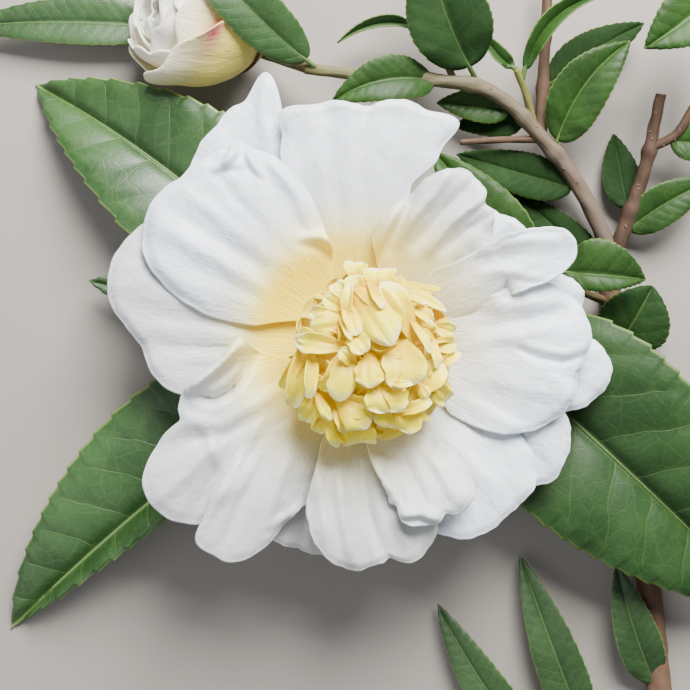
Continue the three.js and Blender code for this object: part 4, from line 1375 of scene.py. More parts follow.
@dataclass
class Scatter:
    """Copies of a few small shapes set on points, each turned to face outwards."""

    bench: Workbench
    kinds: list[bpy.types.Object]
    size: tuple[float, float]
    lean: float
    seed: int
    spin: tuple[float, float] = (0.0, 6.283)

    def tree(self, material: bpy.types.Material) -> bpy.types.NodeTree:
        """Build the nodes that set the copies.

        Args:
            material: The copies' finish.
        Returns:
            The tree, whose inputs are Size low, Size high, Spin low, Spin high, Lean and Seed.
        """
        tree = bpy.data.node_groups.new("scatter", "GeometryNodeTree")
        face = tree.interface
        face.new_socket("Geometry", in_out="INPUT", socket_type="NodeSocketGeometry")
        for label in ("Size low", "Size high", "Spin low", "Spin high", "Lean"):
            face.new_socket(label, in_out="INPUT", socket_type="NodeSocketFloat")
        face.new_socket("Seed", in_out="INPUT", socket_type="NodeSocketInt")
        face.new_socket("Geometry", in_out="OUTPUT", socket_type="NodeSocketGeometry")
        graph = Graph(tree)
        given = graph.node("NodeGroupInput").outputs
        heap = graph.node("GeometryNodeJoinGeometry")
        for kind in reversed(self.kinds):
            source = graph.node("GeometryNodeObjectInfo", None,
                                {"Object": kind, "As Instance": True})
            graph.feed(heap.inputs[0], source.outputs["Geometry"])
        facing = graph.node("GeometryNodeInputNamedAttribute", {"data_type": "FLOAT_VECTOR"},
                            {"Name": "facing"})
        align = graph.node("FunctionNodeAlignRotationToVector", {"axis": "Z"},
                           {"Vector": facing})
        lean, seed = given["Lean"], given["Seed"]
        back = graph.node("ShaderNodeMath", {"operation": "MULTIPLY"}, {0: lean, 1: -1.0})
        lows = graph.node("ShaderNodeCombineXYZ", None, {0: back, 1: back, 2: given["Spin low"]})
        highs = graph.node("ShaderNodeCombineXYZ", None, {0: lean, 1: lean, 2: given["Spin high"]})
        turns = graph.node("FunctionNodeRandomValue", {"data_type": "FLOAT_VECTOR"},
                           {0: lows, 1: highs, "Seed": seed})
        as_turn = graph.node("FunctionNodeEulerToRotation", None, {0: turns})
        rotate = graph.node("FunctionNodeRotateRotation", {"rotation_space": "LOCAL"},
                            {0: align, 1: as_turn})
        sizes = graph.node("FunctionNodeRandomValue", None,
                           {2: given["Size low"], 3: given["Size high"], "Seed": seed})
        choice = graph.node("FunctionNodeRandomValue", {"data_type": "INT"},
                            {4: 0, 5: len(self.kinds) - 1, "Seed": seed})
        put = graph.node("GeometryNodeInstanceOnPoints", None,
                         {"Points": given["Geometry"], "Instance": heap,
                          "Pick Instance": True, "Instance Index": choice.outputs[2],
                          "Rotation": rotate, "Scale": sizes.outputs[1]})
        real = graph.node("GeometryNodeRealizeInstances", None, {0: put})
        dress = graph.node("GeometryNodeSetMaterial", None,
                           {"Geometry": real, "Material": material})
        graph.node("NodeGroupOutput", None, {0: dress})
        return tree

    def build(self, name: str, points: Grid, facing: Grid,
              material: bpy.types.Material) -> bpy.types.Object:
        """Set the copies and turn the result into a plain mesh.

        Args:
            name: The piece's name.
            points: Where each copy's foot is, in design millimetres.
            facing: Which way each faces.
            material: Their finish.
        Returns:
            The finished object.
        """
        base = bpy.data.meshes.new(name + " points")
        base.from_pydata(self.bench.place(points).tolist(), [], [])
        layer = base.attributes.new("facing", "FLOAT_VECTOR", "POINT")
        layer.data.foreach_set("vector", np.asarray(facing, dtype=np.float32).ravel())
        carrier = self.bench.show(name + " points", base)
        tree = self.tree(material)
        modifier = carrier.modifiers.new("scatter", "NODES")
        modifier.node_group = tree
        values = {"Size low": self.size[0], "Size high": self.size[1], "Spin low": self.spin[0],
                  "Spin high": self.spin[1], "Lean": self.lean, "Seed": self.seed}
        for item in tree.interface.items_tree:
            if item.in_out == "INPUT" and item.name in values:
                modifier[item.identifier] = values[item.name]
        bpy.context.view_layer.update()
        graph = bpy.context.evaluated_depsgraph_get()
        mesh = bpy.data.meshes.new_from_object(carrier.evaluated_get(graph), depsgraph=graph)
        carrier.modifiers.clear()
        for old in [carrier, *self.kinds]:
            bpy.data.objects.remove(old, do_unlink=True)
        mesh.name = name
        mesh.polygons.foreach_set("use_smooth", [True] * len(mesh.polygons))
        mesh.materials.clear()
        mesh.materials.append(material)
        return self.bench.show(name, mesh)


# The second flower, half open


@dataclass
class CuppedFlower:
    """The second flower: broad petals that wrap over one another like a cup, on its side."""

    bench: Workbench
    finish: PetalFinish = PetalFinish(white=linear(248, 246, 240), shade=linear(236, 230, 218))
    scale_finish: CalyxFinish = CalyxFinish(green=linear(150, 128, 62), brown=linear(96, 62, 28))
    centre: Spot = (-34.0, 67.4, 13.1)
    radii: Spot = (14.6, 14.2, 9.7)
    axis: Spot = (-0.86, 0.16, 0.48)
    blush_at: Pixel = (213, 33)
    count: int = 20
    scales: int = 7

    def wrapped(self, down: Grid, turn: Grid, swell: Grid) -> Grid:
        """Set places on the flower's body.

        Args:
            down: The angle from its foot, in radians.
            turn: The bearing round its axis, in radians.
            swell: The distance from its middle, 1 on the body.
        Returns:
            The design points.
        """
        axis = unit(np.array(self.axis))
        side = unit(np.cross(np.array([0.0, 0.0, 1.0]), axis))
        up = np.cross(axis, side)
        level = ((np.sin(down) * np.cos(turn))[..., None] * side
                 + (np.sin(down) * np.sin(turn))[..., None] * up
                 - (np.cos(down) * np.ones_like(turn))[..., None] * axis)
        return np.array(self.centre) + level * swell[..., None] * np.array(self.radii)

    def petal(self, k: int, rng: np.random.Generator) -> Solid:
        """Build one wrapped petal.

        Args:
            k: Its place in the order, from the outermost.
            rng: Random numbers.
        Returns:
            The closed shape.
        """
        s = np.linspace(0.02, 1, 36)[:, None]
        t = np.linspace(-1, 1, 32)[None, :]
        inner = k / (self.count - 1)
        end = math.radians(118 + 58 * inner + rng.uniform(-5, 3))
        wide = math.radians(66 - 14 * inner)
        down = s * end * (1 - 0.12 * t ** 2 * smooth((s - 0.5) / 0.5))
        down = down * (1 + 0.02 * np.sin(t * rng.uniform(6, 9) + rng.uniform(0, 6)) * s ** 3)
        shape = (0.25 + 0.75 * smooth(s / 0.45)) * np.sqrt(np.clip(1 - (s - 0.1) ** 6, 0.02, 1))
        turn = math.radians(GOLDEN_DEGREES * k + 20) \
            + t * wide * shape / np.maximum(np.sin(down), 0.55)
        swell = (1.0 - 0.34 * inner - 0.24 * inner ** 3 + 0.035 * t ** 2
                 + (0.16 * (1 - inner)) * smooth((s - 0.72) / 0.28)
                 + 0.025 * np.sin(t * 4 + rng.uniform(0, 6)) * s
                 + 0.012 * np.sin(turn * 9 + rng.uniform(0, 6)) * s)
        points = self.wrapped(down, turn, swell)
        seen = VIEW.pixels(points)
        right, down_by = seen[..., 0] - self.blush_at[0], seen[..., 1] - self.blush_at[1]
        run = right * 0.55 - down_by * 0.84
        off = right * 0.84 + down_by * 0.55
        streak = np.exp(-((off / 7) ** 2 + (run / 17) ** 2)) * (1 - 0.5 * inner)
        cream = np.clip(smooth((math.radians(140) - down) / math.radians(60)), 0, 1)
        marks = {"glow": np.zeros(points.shape[:2]), "cream": cream * np.ones_like(t),
                 "blush": 0.95 * streak}
        flat = np.stack([t * 9 * np.ones_like(s), s * 22 * np.ones_like(t)], axis=-1)
        return Skin.sheet(points, marks, flat).thickened(PETAL_THICKNESS)

    def scale(self, k: int) -> Solid:
        """Build one of the brown scales at the flower's foot.

        Args:
            k: Its place in the order.
        Returns:
            The closed shape.
        """
        s = np.linspace(0.02, 1, 14)[:, None]
        t = np.linspace(-1, 1, 13)[None, :]
        down = s * math.radians(40 + 5 * (k % 3)) * (1 - 0.15 * t ** 2 * s)
        turn = math.radians(GOLDEN_DEGREES * k) + t * 0.75 * np.sqrt(
            np.clip(1 - (s - 0.1) ** 4, 0.03, 1)) / np.maximum(np.sin(down), 0.35) * 0.5
        swell = np.full_like(turn, 1.05 + 0.012 * (k % 3))
        return Skin.sheet(self.wrapped(down, turn, swell), scale_edge(s, t)).thickened(0.4)

    def build(self) -> None:
        """Build the petals as one piece and the scales as another."""
        rng = np.random.default_rng(31)
        petals = Solid.joined([self.petal(k, rng) for k in range(self.count)])
        scales = Solid.joined([self.scale(k) for k in range(self.scales)])
        self.bench.add("v_cupped_bloom", petals, self.finish.make("cupped petal"), Slot.CUPPED,
                       "cupped_bloom")
        self.bench.add("v_cupped_scales", scales, self.scale_finish.make("brown scale"),
                       Slot.CALYX, "cupped_bloom")


# The seat and the calyx


@dataclass
class Seat:
    """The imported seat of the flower, which stays and gets a finish."""

    finish: SeatFinish = SeatFinish()

    def build(self) -> None:
        """Give the seat its finish."""
        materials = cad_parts["receptacle"].data.materials
        materials.clear()
        materials.append(self.finish.make("seat"))


@dataclass
class Calyx:
    """Overlapping scales below the flower, on a short cup."""

    bench: Workbench
    finish: CalyxFinish = CalyxFinish()
    profile: tuple[tuple[float, float], ...] = (
        (0.0, 4.7), (3.2, 4.8), (6.0, 6.4), (8.4, 8.9), (8.8, 11.0), (8.2, 12.2))
    scales: int = 9
    step: float = 2.4  # from one scale's bearing to the next, in radians

    def scale(self, turn: float, size: float, lift: float) -> Solid:
        """Build one scale.

        Args:
            turn: Its bearing in radians.
            size: Its length, as a share of the cup's side.
            lift: How far it stands off the cup.
        Returns:
            The closed shape.
        """
        s = np.linspace(0.12, 1, 12)[:, None]
        t = np.linspace(-1, 1, 11)[None, :]
        knots = np.array(self.profile)
        place = s * size * (len(knots) - 1) * (1 - 0.12 * t ** 2 * s)
        radius = np.interp(place, np.arange(len(knots)), knots[:, 0]) + lift
        height = np.interp(place, np.arange(len(knots)), knots[:, 1])
        spread = 0.62 * np.sqrt(np.clip(1 - ((s - 0.35) / 0.68) ** 4, 0.03, 1))
        angle = turn - t * spread
        return Skin.sheet(polar(radius, angle, height), scale_edge(s, t)).thickened(0.5)

    def build(self) -> None:
        """Build the scales as one piece."""
        parts = [self.scale(k * self.step, 0.72 + 0.07 * (k % 5), 0.15 + 0.12 * (k % 3))
                 for k in range(self.scales)]
        self.bench.add("v_calyx", Solid.joined(parts), self.finish.make("calyx scale"),
                       Slot.CALYX, "calyx")


# Leaves

LARGE_HALF = 10


@dataclass(frozen=True)
class Leaf:
    """One leaf: its stalk's foot, its tip, the half widths of its two sides and its set."""

    name: str
    foot: Spot
    tip: Spot
    half: tuple[float, float]  # of its left and right sides
    lift: tuple[float, float]  # how steeply its left and right sides rise
    arch: float  # how far its middle rises
    bow: float  # how far its middle bends to the left
    stalk: float  # the stalk's share of its length
    young: bool = False
    shade: float = 0.0  # how far its green is darkened toward the finish's dark, as painted shade

    @property
    def large(self) -> bool:
        """Tell whether the leaf is one of the large ones round the flower."""
        return self.half[1] > LARGE_HALF

    @property
    def size(self) -> float:
        """Return the half width of its wider side."""
        return max(self.half)

    def solid(self, seed: int) -> Solid:
        """Build the leaf with its stalk.

        Args:
            seed: For its small differences from the others.
        Returns:
            The closed shape.
        """
        rng = np.random.default_rng(seed)
        foot, run = np.array(self.foot), np.array(self.tip) - np.array(self.foot)
        length = float(np.linalg.norm(run))
        rows, columns = (230, 45) if self.large else (84, 21)
        left = unit(np.array([-run[1], run[0], 0.0]))
        u = 0.5 - 0.5 * np.cos(np.linspace(0.06, math.pi - 0.03, rows))
        u = 0.55 * u + 0.45 * np.linspace(u[0], u[-1], rows)
        u = u[:, None]
        w = np.linspace(-1, 1, columns)[None, :]
        w = np.sign(w) * (1 - (1 - np.abs(w)) ** 1.15)
        t = self.stalk + (1 - self.stalk) * u
        bulge = 4 * t * (1 - t)
        centre = foot + run * t[..., None] + left * (self.bow * bulge)[..., None]
        centre[..., 2] += self.arch * bulge
        off = self.width(u, w, length, rng) * np.abs(w)
        chart = np.stack([t * length * np.ones_like(w), off * np.sign(w)], axis=-1) \
            / (self.size / 2.0)
        height = self.relief(u, w, t, off, chart, rng)
        points = centre + left * (off * np.sign(w))[..., None]
        points[..., 2] += height
        points[..., 2] = 0.35 + 0.25 * np.logaddexp(0, (points[..., 2] - 0.35) / 0.25)
        marks = {"edge": np.broadcast_to(np.abs(w), points.shape[:2]),
                 "under": np.zeros(points.shape[:2]),
                 "shade": np.full(points.shape[:2], self.shade)}
        thick = np.broadcast_to(0.34 + 0.5 * (1 - smooth(u / 0.12)), points.shape[:2]).reshape(-1)
        skin = Skin.sheet(points[:, ::-1], {n: v[:, ::-1] for n, v in marks.items()},
                          chart[:, ::-1])
        blade = skin.thickened(thick)
        blade.marks["under"][rows * columns:2 * rows * columns] = 1.0
        return Solid.joined([blade, self.petiole(foot, run, left, length)])

    def width(self, u: Grid, w: Grid, length: float, rng: np.random.Generator) -> Grid:
        """Return the half width of the toothed blade.

        Args:
            u: 0 at the blade's foot to 1 at its tip.
            w: -1 at its right edge to 1 at its left one.
            length: The leaf's length.
            rng: Its random numbers.
        Returns:
            The half widths.
        """
        outline = np.where(w > 0, *self.half) * 2.313 * u ** 0.45 * (1 - u) ** 0.85
        pitch = 4.3 if self.large else max(length * (1 - self.stalk) / 16, 1.3)
        drift = 0.35 * np.sin(u * rng.uniform(9, 14) + rng.uniform(0, 6) + np.sign(w))
        travel = u * length * (1 - self.stalk) / pitch + drift + 0.4 * (w > 0)
        tooth = (travel % 1.0) ** 1.3 * smooth((u - 0.05) / 0.1) * smooth((1 - u) / 0.03)
        depth = 0.62 if self.large else min(0.26, 0.05 * self.size)
        return np.maximum(outline + depth * (tooth - 0.5), 0.12)

    def relief(self, u: Grid, w: Grid, t: Grid, off: Grid, chart: Grid,
               rng: np.random.Generator) -> Grid:
        """Return how high each place stands over the leaf's midline.

        Args:
            u: 0 at the blade's foot to 1 at its tip.
            w: -1 at its right edge to 1 at its left one.
            t: 0 at the stalk's foot to 1 at the tip.
            off: The distance from the midrib.
            chart: The flat chart, in which a row of side veins is one apart.
            rng: Its random numbers.
        Returns:
            The heights.
        """
        size, mix = self.size, smooth(u / 0.2)
        row = chart[..., 0] - np.abs(chart[..., 1]) * 0.5 - chart[..., 1] ** 2 * 0.15 \
            + np.where(w > 0, 0.5, 0.0)
        quilt = np.sin(math.pi * (row % 1.0)) ** 0.7 * smooth(off / (0.12 * size + 0.1)) \
            * smooth((1 - np.abs(w)) / 0.2)
        ripple = np.sin(t * rng.uniform(9, 14) + rng.uniform(0, 6)) * np.abs(w) ** 2
        groove = -hump(off, 0.045 * size + 0.12)
        valley = 0.14 * size * (1 - np.exp(-off / (0.35 * size + 0.1)))
        return (off * (np.where(w > 0, *self.lift) * mix) + valley * mix + quilt * 0.02 * size
                + ripple * 0.03 * size + groove * 0.03 * size - 0.06 * size * np.abs(w) ** 4)

    def petiole(self, foot: Grid, run: Grid, left: Grid, length: float) -> Solid:
        """Build the stalk, which runs on below the blade as its midrib.

        Args:
            foot: The stalk's foot.
            run: From the foot to the tip.
            left: The leaf's left.
            length: The leaf's length.
        Returns:
            The closed shape.
        """
        t = np.linspace(0, min(1.0, self.stalk + 0.75), 26)[:, None]
        bulge = 4 * t * (1 - t)
        line = foot + run * t + left * self.bow * bulge
        line[:, 2] += self.arch * bulge[:, 0]
        stout = 0.85 if self.large else 0.5
        radius = np.interp(t[:, 0], [0, self.stalk, self.stalk + 0.12, 1],
                           [1.12 * stout, stout, 0.55 * stout, 0.12])
        line[:, 2] -= np.interp(t[:, 0], [0, self.stalk, self.stalk + 0.06], [0, 0, 0.25])
        line[:, 2] = np.maximum(line[:, 2], radius)
        rings = rings_along(line, radius[:, None], np.linspace(0, math.tau, 10, endpoint=False))
        flat = np.zeros((*rings.shape[:2], 2))
        flat[..., 0] = t * length / (self.size / 2.0)
        ones = np.ones(rings.shape[:2])
        return closed_tube(rings, {"edge": 0 * ones, "under": 0.35 * ones,
                                   "shade": self.shade * ones}, flat)


LEAVES = (
    Leaf("leaf_upper_left", (-3, 1.2, 2.4), (-70.5, 56, 0.1), (16, 17), (0.16, 0.2), 9, -3.4,
         0.13),
    Leaf("leaf_lower_left", (-3, -1, 2.4), (-75.9, -60.9, 0.1), (5.2, 19), (0.9, 0.0), 8, -2,
         0.13),
    Leaf("leaf_left", (-4, 0.2, 2.2), (-57.6, 13.5, 7), (6, 6), (0.1, 0.1), -0.5, 0, 0.3,
         shade=0.3),
    Leaf("leaf_right", (20.9, 5, 3), (83.5, -54, 6.5), (20.6, 20), (0.22, 0.02), 9, 0, 0.05,
         shade=0.42),
    Leaf("leaf_fork_long", (33.5, 3, 2.2), (14.5, 40.2, 8), (8, 9), (0.1, 0.1), 2, -2.5, 0.1,
         True),
    Leaf("leaf_fork_dark", (52.6, 13.5, 2.2), (32.1, 32.6, 2), (6, 4), (0, 0), -0.7, -0.6, 0.1,
         shade=0.67),
    Leaf("leaf_under_fork", (45.6, 32.6, 5.2), (19.8, 40.5, 3.4), (4.6, 4.6), (0.05, 0.05), -0.6,
         0, 0.08, shade=0.62),
    Leaf("leaf_node_light", (15.1, 54.2, 10.5), (-6.7, 49.2, 14.5), (4.6, 4.6), (0.15, 0.15), 2,
         -2, 0.06, True),
    Leaf("leaf_node_dark", (23.4, 54, 10.2), (12.6, 81, 16), (8.3, 8.3), (0.1, 0.1), 3, 2, 0.13,
         shade=0.67),
    Leaf("leaf_edge_on", (12.6, 65.8, 7.2), (-5.6, 63.5, 6), (1.2, 1.2), (1.6, 1.6), 1, -2.4, 0.12,
         shade=0.25),
    Leaf("leaf_inner_light", (31.5, 48.4, 8.6), (15.4, 51, 5.6), (3.6, 3.6), (0.1, 0.1), -0.6,
         -0.6, 0.1, True),
    Leaf("leaf_inner_dark", (34.2, 46, 7.4), (19.4, 46.6, 3), (3.3, 3.3), (0.1, 0.1), -0.8, -1,
         0.1, shade=0.72),
    Leaf("leaf_fork_tall", (39.6, 40.6, 7.2), (53.7, 61.6, 14), (5.6, 5.6), (0.15, 0.15), 2, 2.6,
         0.09, True),
    Leaf("leaf_behind_fork", (37.5, 53.5, 6.3), (58.7, 67.6, 6), (4.6, 4.6), (0.05, 0.05), -1, 1,
         0.1, shade=0.72),
    Leaf("leaf_bud_long", (32.2, 53.9, 11.3), (49.7, 71, 14.5), (1.9, 1.9), (0.9, 0.9), 2, 4.5,
         0.1, True),
    Leaf("leaf_bud_short", (30.9, 56.3, 12.3), (24.6, 64, 10.6), (1.5, 1.5), (0.8, 0.8), 0.4, 0.8,
         0.1, True),
    Leaf("leaf_corner", (72, 73, 17.7), (55.1, 58.6, 20.5), (6.4, 6.4), (0.12, 0.12), 1.5, 1, 0.1,
         True),
    Leaf("leaf_right_fork", (54.6, 23.4, 3.9), (73, 34.5, 8), (4.2, 4.2), (0.1, 0.1), 1, 1, 0.1,
         True),
    Leaf("leaf_serrated_short", (39.6, 15, 11.9), (57.2, 13.4, 13), (7, 3.4), (0.1, 0.1), 2, 0,
         0.08, True),
    Leaf("leaf_under_right", (53.6, -1, 2.5), (60.6, 12.4, 6), (7.4, 7.6), (0.1, 0.1), 1.4, 0, 0.1,
         shade=0.57),
    Leaf("leaf_behind_right", (55.9, 27.6, 4.7), (53.4, 45, 2), (4, 4), (0.05, 0.05), -0.6, 0, 0.1,
         shade=0.72),
    Leaf("leaf_twig_light", (62.6, 42.4, 8.6), (76, 41.5, 7), (3.8, 3.8), (0.1, 0.1), 0.5, 0, 0.1,
         True),
    Leaf("leaf_low_first", (38.6, -88.8, 1.3), (15.8, -55.4, 2.4), (4.6, 4.6), (0.1, 0.1), 2, 1.5,
         0.1, shade=0.3),
    Leaf("leaf_low_second", (49, -86.7, 1.3), (33.2, -45, 3), (5, 5), (0.1, 0.1), 2.4, 0.5, 0.1,
         shade=0.35),
    Leaf("leaf_low_third", (62.8, -74, 2.6), (53, -46.5, 5.5), (4.6, 4.6), (0.1, 0.1), 2, 1, 0.1,
         shade=0.35),
    Leaf("leaf_cupped_bloom", (-9.6, 56.8, 10.7), (-36, 82, 26), (5.4, 5.4), (0.1, 0.1), 4, 2.5,
         0.08, shade=0.15),
    Leaf("leaf_far_left", (-35.6, 66.9, 2.7), (-86, 67.5, 3.5), (5, 5), (0.1, 0.1), 1.2, -1.2,
         0.14, shade=0.1),
)


@dataclass
class Foliage:
    """Every leaf of the branch."""

    bench: Workbench
    leaves: tuple[Leaf, ...] = LEAVES
    mature: LeafFinish = LeafFinish(deep=linear(34, 65, 26), fresh=linear(54, 87, 42),
                                    vein=linear(116, 142, 76), margin=linear(134, 158, 78),
                                    under=linear(96, 122, 72))
    young: LeafFinish = LeafFinish(deep=linear(28, 53, 17), fresh=linear(42, 72, 26),
                                   vein=linear(92, 118, 58), margin=linear(104, 128, 60),
                                   under=linear(82, 106, 56), roughness=0.5, gloss=0.14)

    def build(self) -> None:
        """Build every leaf."""
        old, young = self.mature.make("leaf"), self.young.make("young leaf")
        # Leaves with painted shade also get copies of the finish with less gloss.
        shaded = replace(self.mature, gloss=0.12, roughness=0.45).make("leaf in shade")
        calm = replace(self.mature, gloss=0.27, roughness=0.3).make("leaf in half shade")
        for k, leaf in enumerate(self.leaves):
            grown = old if leaf.shade < 0.4 else calm if leaf.shade < 0.5 else shaded
            finish = young if leaf.young else grown
            self.bench.add(f"v_{leaf.name}", leaf.solid(k), finish,
                           Slot.YOUNG if leaf.young else Slot.LEAF, leaf.name)


# Stems


@dataclass(frozen=True)
class Stem:
    """One stem: its path, its radii at both ends, its tone, and its nodes along it."""

    name: str
    radii: tuple[float, float]  # at its first and last point
    path: tuple[Spot, ...]
    tone: float  # from 0, dark, to 1, grey
    green: tuple[float, float] = (0.0, 0.0)  # how green both ends are
    nodes: tuple[float, ...] = ()  # where it swells, as shares of its length
    cut: tuple[bool, bool] = (False, False)  # which ends show pale wood
    sides: int = 22

    def solid(self, seed: int) -> Solid:
        """Build the stem.

        Args:
            seed: For its own knobs and dents.
        Returns:
            The closed shape.
        """
        rng = np.random.default_rng(400 + seed)
        length = path_length(curve_through(self.path, 60))
        steps = int(max(24, length / 0.5))
        line = curve_through(self.path, steps)
        share = np.linspace(0, 1, steps)
        radius = self.radii[0] + (self.radii[1] - self.radii[0]) * share
        for node in self.nodes:
            radius = radius + 0.38 * self.radii[1] * hump((share - node) * length, 1.5)
        angle = np.linspace(0, math.tau, self.sides, endpoint=False)
        lumps = np.zeros((steps, self.sides))
        for _ in range(9):
            turns = rng.integers(0, 5)
            lumps += rng.uniform(0.2, 1) * np.sin(turns * angle[None, :] + rng.uniform(0, 6)
                                                  + share[:, None] * length * rng.uniform(0.2, 1.4))
        wide = radius[:, None] * (1 + 0.022 * lumps)
        rings = rings_along(line, wide, angle)
        rings[..., 2] = np.maximum(rings[..., 2], -0.08)
        ones = np.ones_like(wide)
        flat = np.stack([angle * 1.6 * ones, (share * length)[:, None] * ones], axis=-1)
        greens = (self.green[0] + (self.green[1] - self.green[0]) * share[:, None] ** 2) * ones
        marks = {"tone": self.tone * ones, "green": greens, "wood": 0 * ones}
        for end, row in enumerate((0, -1)):
            if self.cut[end]:
                rings, flat, marks = self.sawn(rings, flat, marks, row)
        return closed_tube(rings, marks, flat)

    @staticmethod
    def sawn(rings: Grid, flat: Grid, marks: dict[str, Grid],
             row: int) -> tuple[Grid, Grid, dict[str, Grid]]:
        """Add the cut face of an end: a rim of bark round the pale wood.

        Args:
            rings: The stem's rings.
            flat: Their chart.
            marks: Their numbers.
            row: The end's ring, 0 or -1.
        Returns:
            The rings, chart and numbers with two more rings.
        """
        middle = rings[row].mean(axis=0)

        def longer(values: Grid, more: list[Grid]) -> Grid:
            """Put more rings outside the end's ring."""
            heap = [np.stack(more[::-1]), values] if row == 0 else [values, np.stack(more)]
            return np.concatenate(heap)

        inner = [middle + (rings[row] - middle) * size for size in (0.97, 0.84)]
        grown = {name: longer(v, [v[row], v[row]]) for name, v in marks.items()}
        wood = [0.0 * marks["wood"][row], 0.0 * marks["wood"][row] + 1.0]
        grown["wood"] = longer(marks["wood"], wood)
        return longer(rings, inner), longer(flat, [flat[row], flat[row]]), grown


STEMS = (
    Stem("stem_main", (2.6, 2.2), ((63.5, -82, 2.6), (62, -63, 2.6), (58.8, -37, 2.5),
         (55, -12, 2.4), (52.8, 7, 2.3), (52.5, 20, 2.9)), 0.42, nodes=(0.06, 0.34, 0.7, 0.86),
         cut=(True, False)),
    Stem("stem_bloom_shoot", (2, 2.2), ((54.8, -9, 2), (39, 1.5, 2), (22, 4.5, 2), (8, 2.5, 2.1),
         (-4.5, 0, 2.2)), 0.5, (0.1, 0.55), (0.3, 0.6)),
    Stem("stem_left_fork", (1.8, 1.1), ((52.4, 19.5, 3), (47.6, 29.5, 4.6), (42.1, 37.7, 6.2),
         (36.6, 43.7, 7.6), (30.2, 49.8, 9), (23.8, 53.3, 10), (15.1, 54.4, 10.5),
         (3.2, 55.3, 10.5), (-12.3, 56.9, 10.5)), 0.8, (0.0, 0.4), (0.3, 0.42, 0.58, 0.7)),
    Stem("stem_right_fork", (1.7, 1.1), ((53.2, 19, 3), (57.3, 31.5, 5.5), (59.5, 40.6, 7.6),
         (60.2, 45.6, 8.6), (61.2, 51.8, 10)), 0.12, nodes=(0.3, 0.66), cut=(False, True)),
    Stem("stem_side_twig", (1, 0.8), ((59.6, 41, 7.8), (64.4, 43.5, 9), (67.3, 48, 10),
         (70.5, 55, 12), (72, 65, 15), (72, 74, 18)), 0.12, nodes=(0.4, 0.9), cut=(False, True)),
    Stem("stem_back_twig", (1.3, 1), ((36.8, 43.6, 7.4), (37.3, 51, 6.4), (37.8, 60, 6),
         (38.4, 72, 6), (38.7, 79, 6)), 0.25, nodes=(0.3, 0.6), cut=(False, True)),
    Stem("stem_bud_twig", (0.9, 0.7), ((35.4, 44.8, 8), (33.5, 51.2, 10), (30.9, 56.4, 12.5)), 0.5,
         (0.3, 0.9)),
    Stem("stem_bare_twig", (0.8, 0.6), ((37.2, 43, 7.2), (28.2, 42.9, 7), (20, 42.4, 7)), 0.3),
    Stem("stem_leaf_twig", (0.8, 0.6), ((18.6, 54.2, 10), (16.5, 60, 8), (13, 65.6, 7)), 0.45,
         (0.2, 0.6)),
    Stem("stem_cupped_shoot", (1.1, 1), ((-11.6, 56.9, 10.4), (-18, 60, 6.5), (-26, 63.5, 3.4),
         (-36, 67, 2.7)), 0.6, (0.2, 0.6)),
    Stem("stem_short_twig", (0.9, 0.7), ((52.8, 9, 2.3), (46, 11, 6), (40.5, 13.4, 10),
         (39.5, 15, 12.2)), 0.35, (0.1, 0.8)),
    Stem("stem_low_twig", (1, 0.9), ((63.5, -78, 2.6), (56, -84, 1.4), (48, -87, 1.2),
         (38, -89, 1.2)), 0.4, (0.1, 0.6)),
)


@dataclass
class Wood:
    """The branch's stems and twigs, with their pores."""

    bench: Workbench
    finish: BarkFinish = BarkFinish()
    stems: tuple[Stem, ...] = STEMS
    stout: int = 6
    pores_per_mm: float = 0.6

    def build(self) -> None:
        """Build every stem."""
        material = self.finish.make("bark")
        for k, stem in enumerate(self.stems):
            self.bench.add(f"v_{stem.name}", stem.solid(k), material, Slot.BARK, stem.name)
        self.build_pores(material)

    def build_pores(self, material: bpy.types.Material) -> None:
        """Scatter the raised pores of the bark over the stouter stems.

        Args:
            material: Their finish.
        """
        rng = np.random.default_rng(55)
        points, facing = [], []
        places = 200
        for stem in self.stems[:self.stout]:
            line = curve_through(stem.path, places)
            across, up = frames_along(line)
            for _ in range(int(path_length(line) * self.pores_per_mm)):
                k = int(rng.integers(4, places - 4))
                angle = rng.uniform(0, math.tau)
                out = across[k] * math.cos(angle) + up[k] * math.sin(angle)
                radius = stem.radii[0] + (stem.radii[1] - stem.radii[0]) * k / (places - 1)
                points.append(line[k] + out * radius * 0.985)
                facing.append(out)
        angle = np.linspace(0, math.tau, 8, endpoint=False)
        rings = np.stack([np.stack([1.7 * radius * np.cos(angle), radius * np.sin(angle),
                                    np.full(8, height)], axis=-1)
                          for radius, height in ((0.20, 0.0), (0.15, 0.07), (0.05, 0.1))])
        ones = np.ones(rings.shape[:2])
        kind = closed_tube(rings, {"tone": 0.6 * ones, "green": 0 * ones, "wood": 0 * ones},
                           np.zeros((*rings.shape[:2], 2)))
        source = self.bench.mesh("pore kind", self.bench.unplaced(kind), material)
        scatter = Scatter(self.bench, [source], size=(0.6, 1.3), lean=0.0, seed=9)
        piece = scatter.build("v_pores", np.array(points), np.array(facing), material)
        self.bench.hand_in(piece, Slot.BARK)


# Studio


@dataclass(frozen=True)
class Lamp:
    """One soft square lamp."""

    name: str
    offset: Spot  # from what it points at, in metres
    side: float  # in metres
    watts: float
    colour: Colour


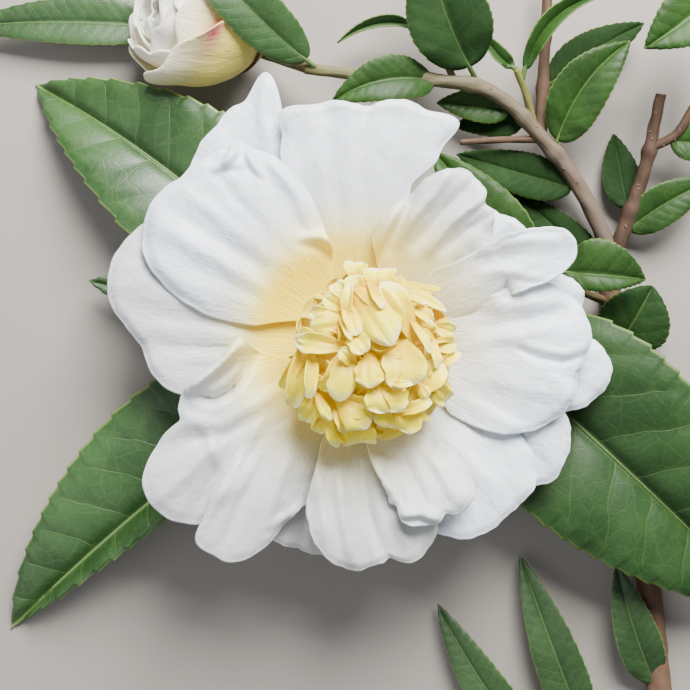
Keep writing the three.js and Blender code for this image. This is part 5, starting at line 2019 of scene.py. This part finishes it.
@dataclass
class Studio:
    """The pale floor, the soft lights and the camera."""

    bench: Workbench
    floor: Colour = linear(150, 144, 137)
    reach: float = 3.0
    sensor: float = 36.0
    sky: Colour = (0.86, 0.91, 1.0)
    sky_strength: float = 0.3
    aim: Spot = (0.0, 0.0, 20.0)
    lamps: tuple[Lamp, ...] = (Lamp("key", (0.10, 0.33, 0.31), 0.28, 10.0, (1.0, 0.99, 0.97)),
                               Lamp("fill", (-0.5, -0.3, 0.6), 0.9, 2.8, (0.93, 0.96, 1.0)))

    def build(self) -> None:
        """Set the floor, the lights, the sky and the camera."""
        self.lay_floor()
        for lamp in self.lamps:
            self.hang(lamp)
        world = bpy.data.worlds.new("soft sky")
        world.use_nodes = True
        sky = world.node_tree.nodes["Background"]
        sky.inputs["Color"].default_value = (*self.sky, 1.0)
        sky.inputs["Strength"].default_value = self.sky_strength
        bpy.context.scene.world = world
        self.set_camera()

    def lay_floor(self) -> None:
        """Lay the plain pale floor."""
        p = Palette("floor")
        grain = p.noise(p.spot(), 14.0, 4.0, 0.6)
        colour = p.blend(grain, tuple(0.97 * c for c in self.floor), self.floor)
        material = p.finish(Base_Color=colour, Roughness=0.85)
        mesh = bpy.data.meshes.new("floor")
        far = self.reach
        mesh.from_pydata([(-far, -far, 0), (far, -far, 0), (far, far, 0), (-far, far, 0)], [],
                         [(0, 1, 2, 3)])
        mesh.materials.append(material)
        self.bench.show("floor", mesh)

    def hang(self, lamp: Lamp) -> None:
        """Hang one lamp.

        Args:
            lamp: Its place, size and light.
        """
        middle = self.bench.place(np.array(self.aim))
        place = middle + np.array(lamp.offset)
        light = bpy.data.lights.new(lamp.name, "AREA")
        light.shape, light.size, light.energy = "SQUARE", lamp.side, lamp.watts
        light.color = lamp.colour
        item = self.bench.show(lamp.name, light)
        item.location = place.tolist()
        item.rotation_euler = Vector((middle - place).tolist()).to_track_quat("-Z", "Y").to_euler()

    def set_camera(self) -> None:
        """Set the camera at the photograph's eye."""
        camera = bpy.data.cameras.new("camera")
        camera.sensor_width = self.sensor
        camera.sensor_fit = "HORIZONTAL"
        camera.lens = self.sensor * VIEW.focal / (2 * VIEW.half)
        camera.clip_start = 0.005
        item = self.bench.show("camera", camera)
        item.location = self.bench.place(np.array(VIEW.eye)).tolist()
        bpy.context.scene.camera = item


def corners(box: tuple) -> list[list[float]]:
    """Return a box's two corners as plain lists."""
    return [[float(v) for v in corner] for corner in box]


def main() -> None:
    """Build the branch from its flower outwards, then the studio."""
    logging.basicConfig(level=logging.INFO, format="%(name)s: %(message)s")
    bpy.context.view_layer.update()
    bench = Workbench()
    Studio(bench).build()
    Corolla(bench).build()
    Middle(bench).build()
    CuppedFlower(bench).build()
    Seat().build()
    Calyx(bench).build()
    Foliage(bench).build()
    Wood(bench).build()


if __name__ == "__main__":
    main()
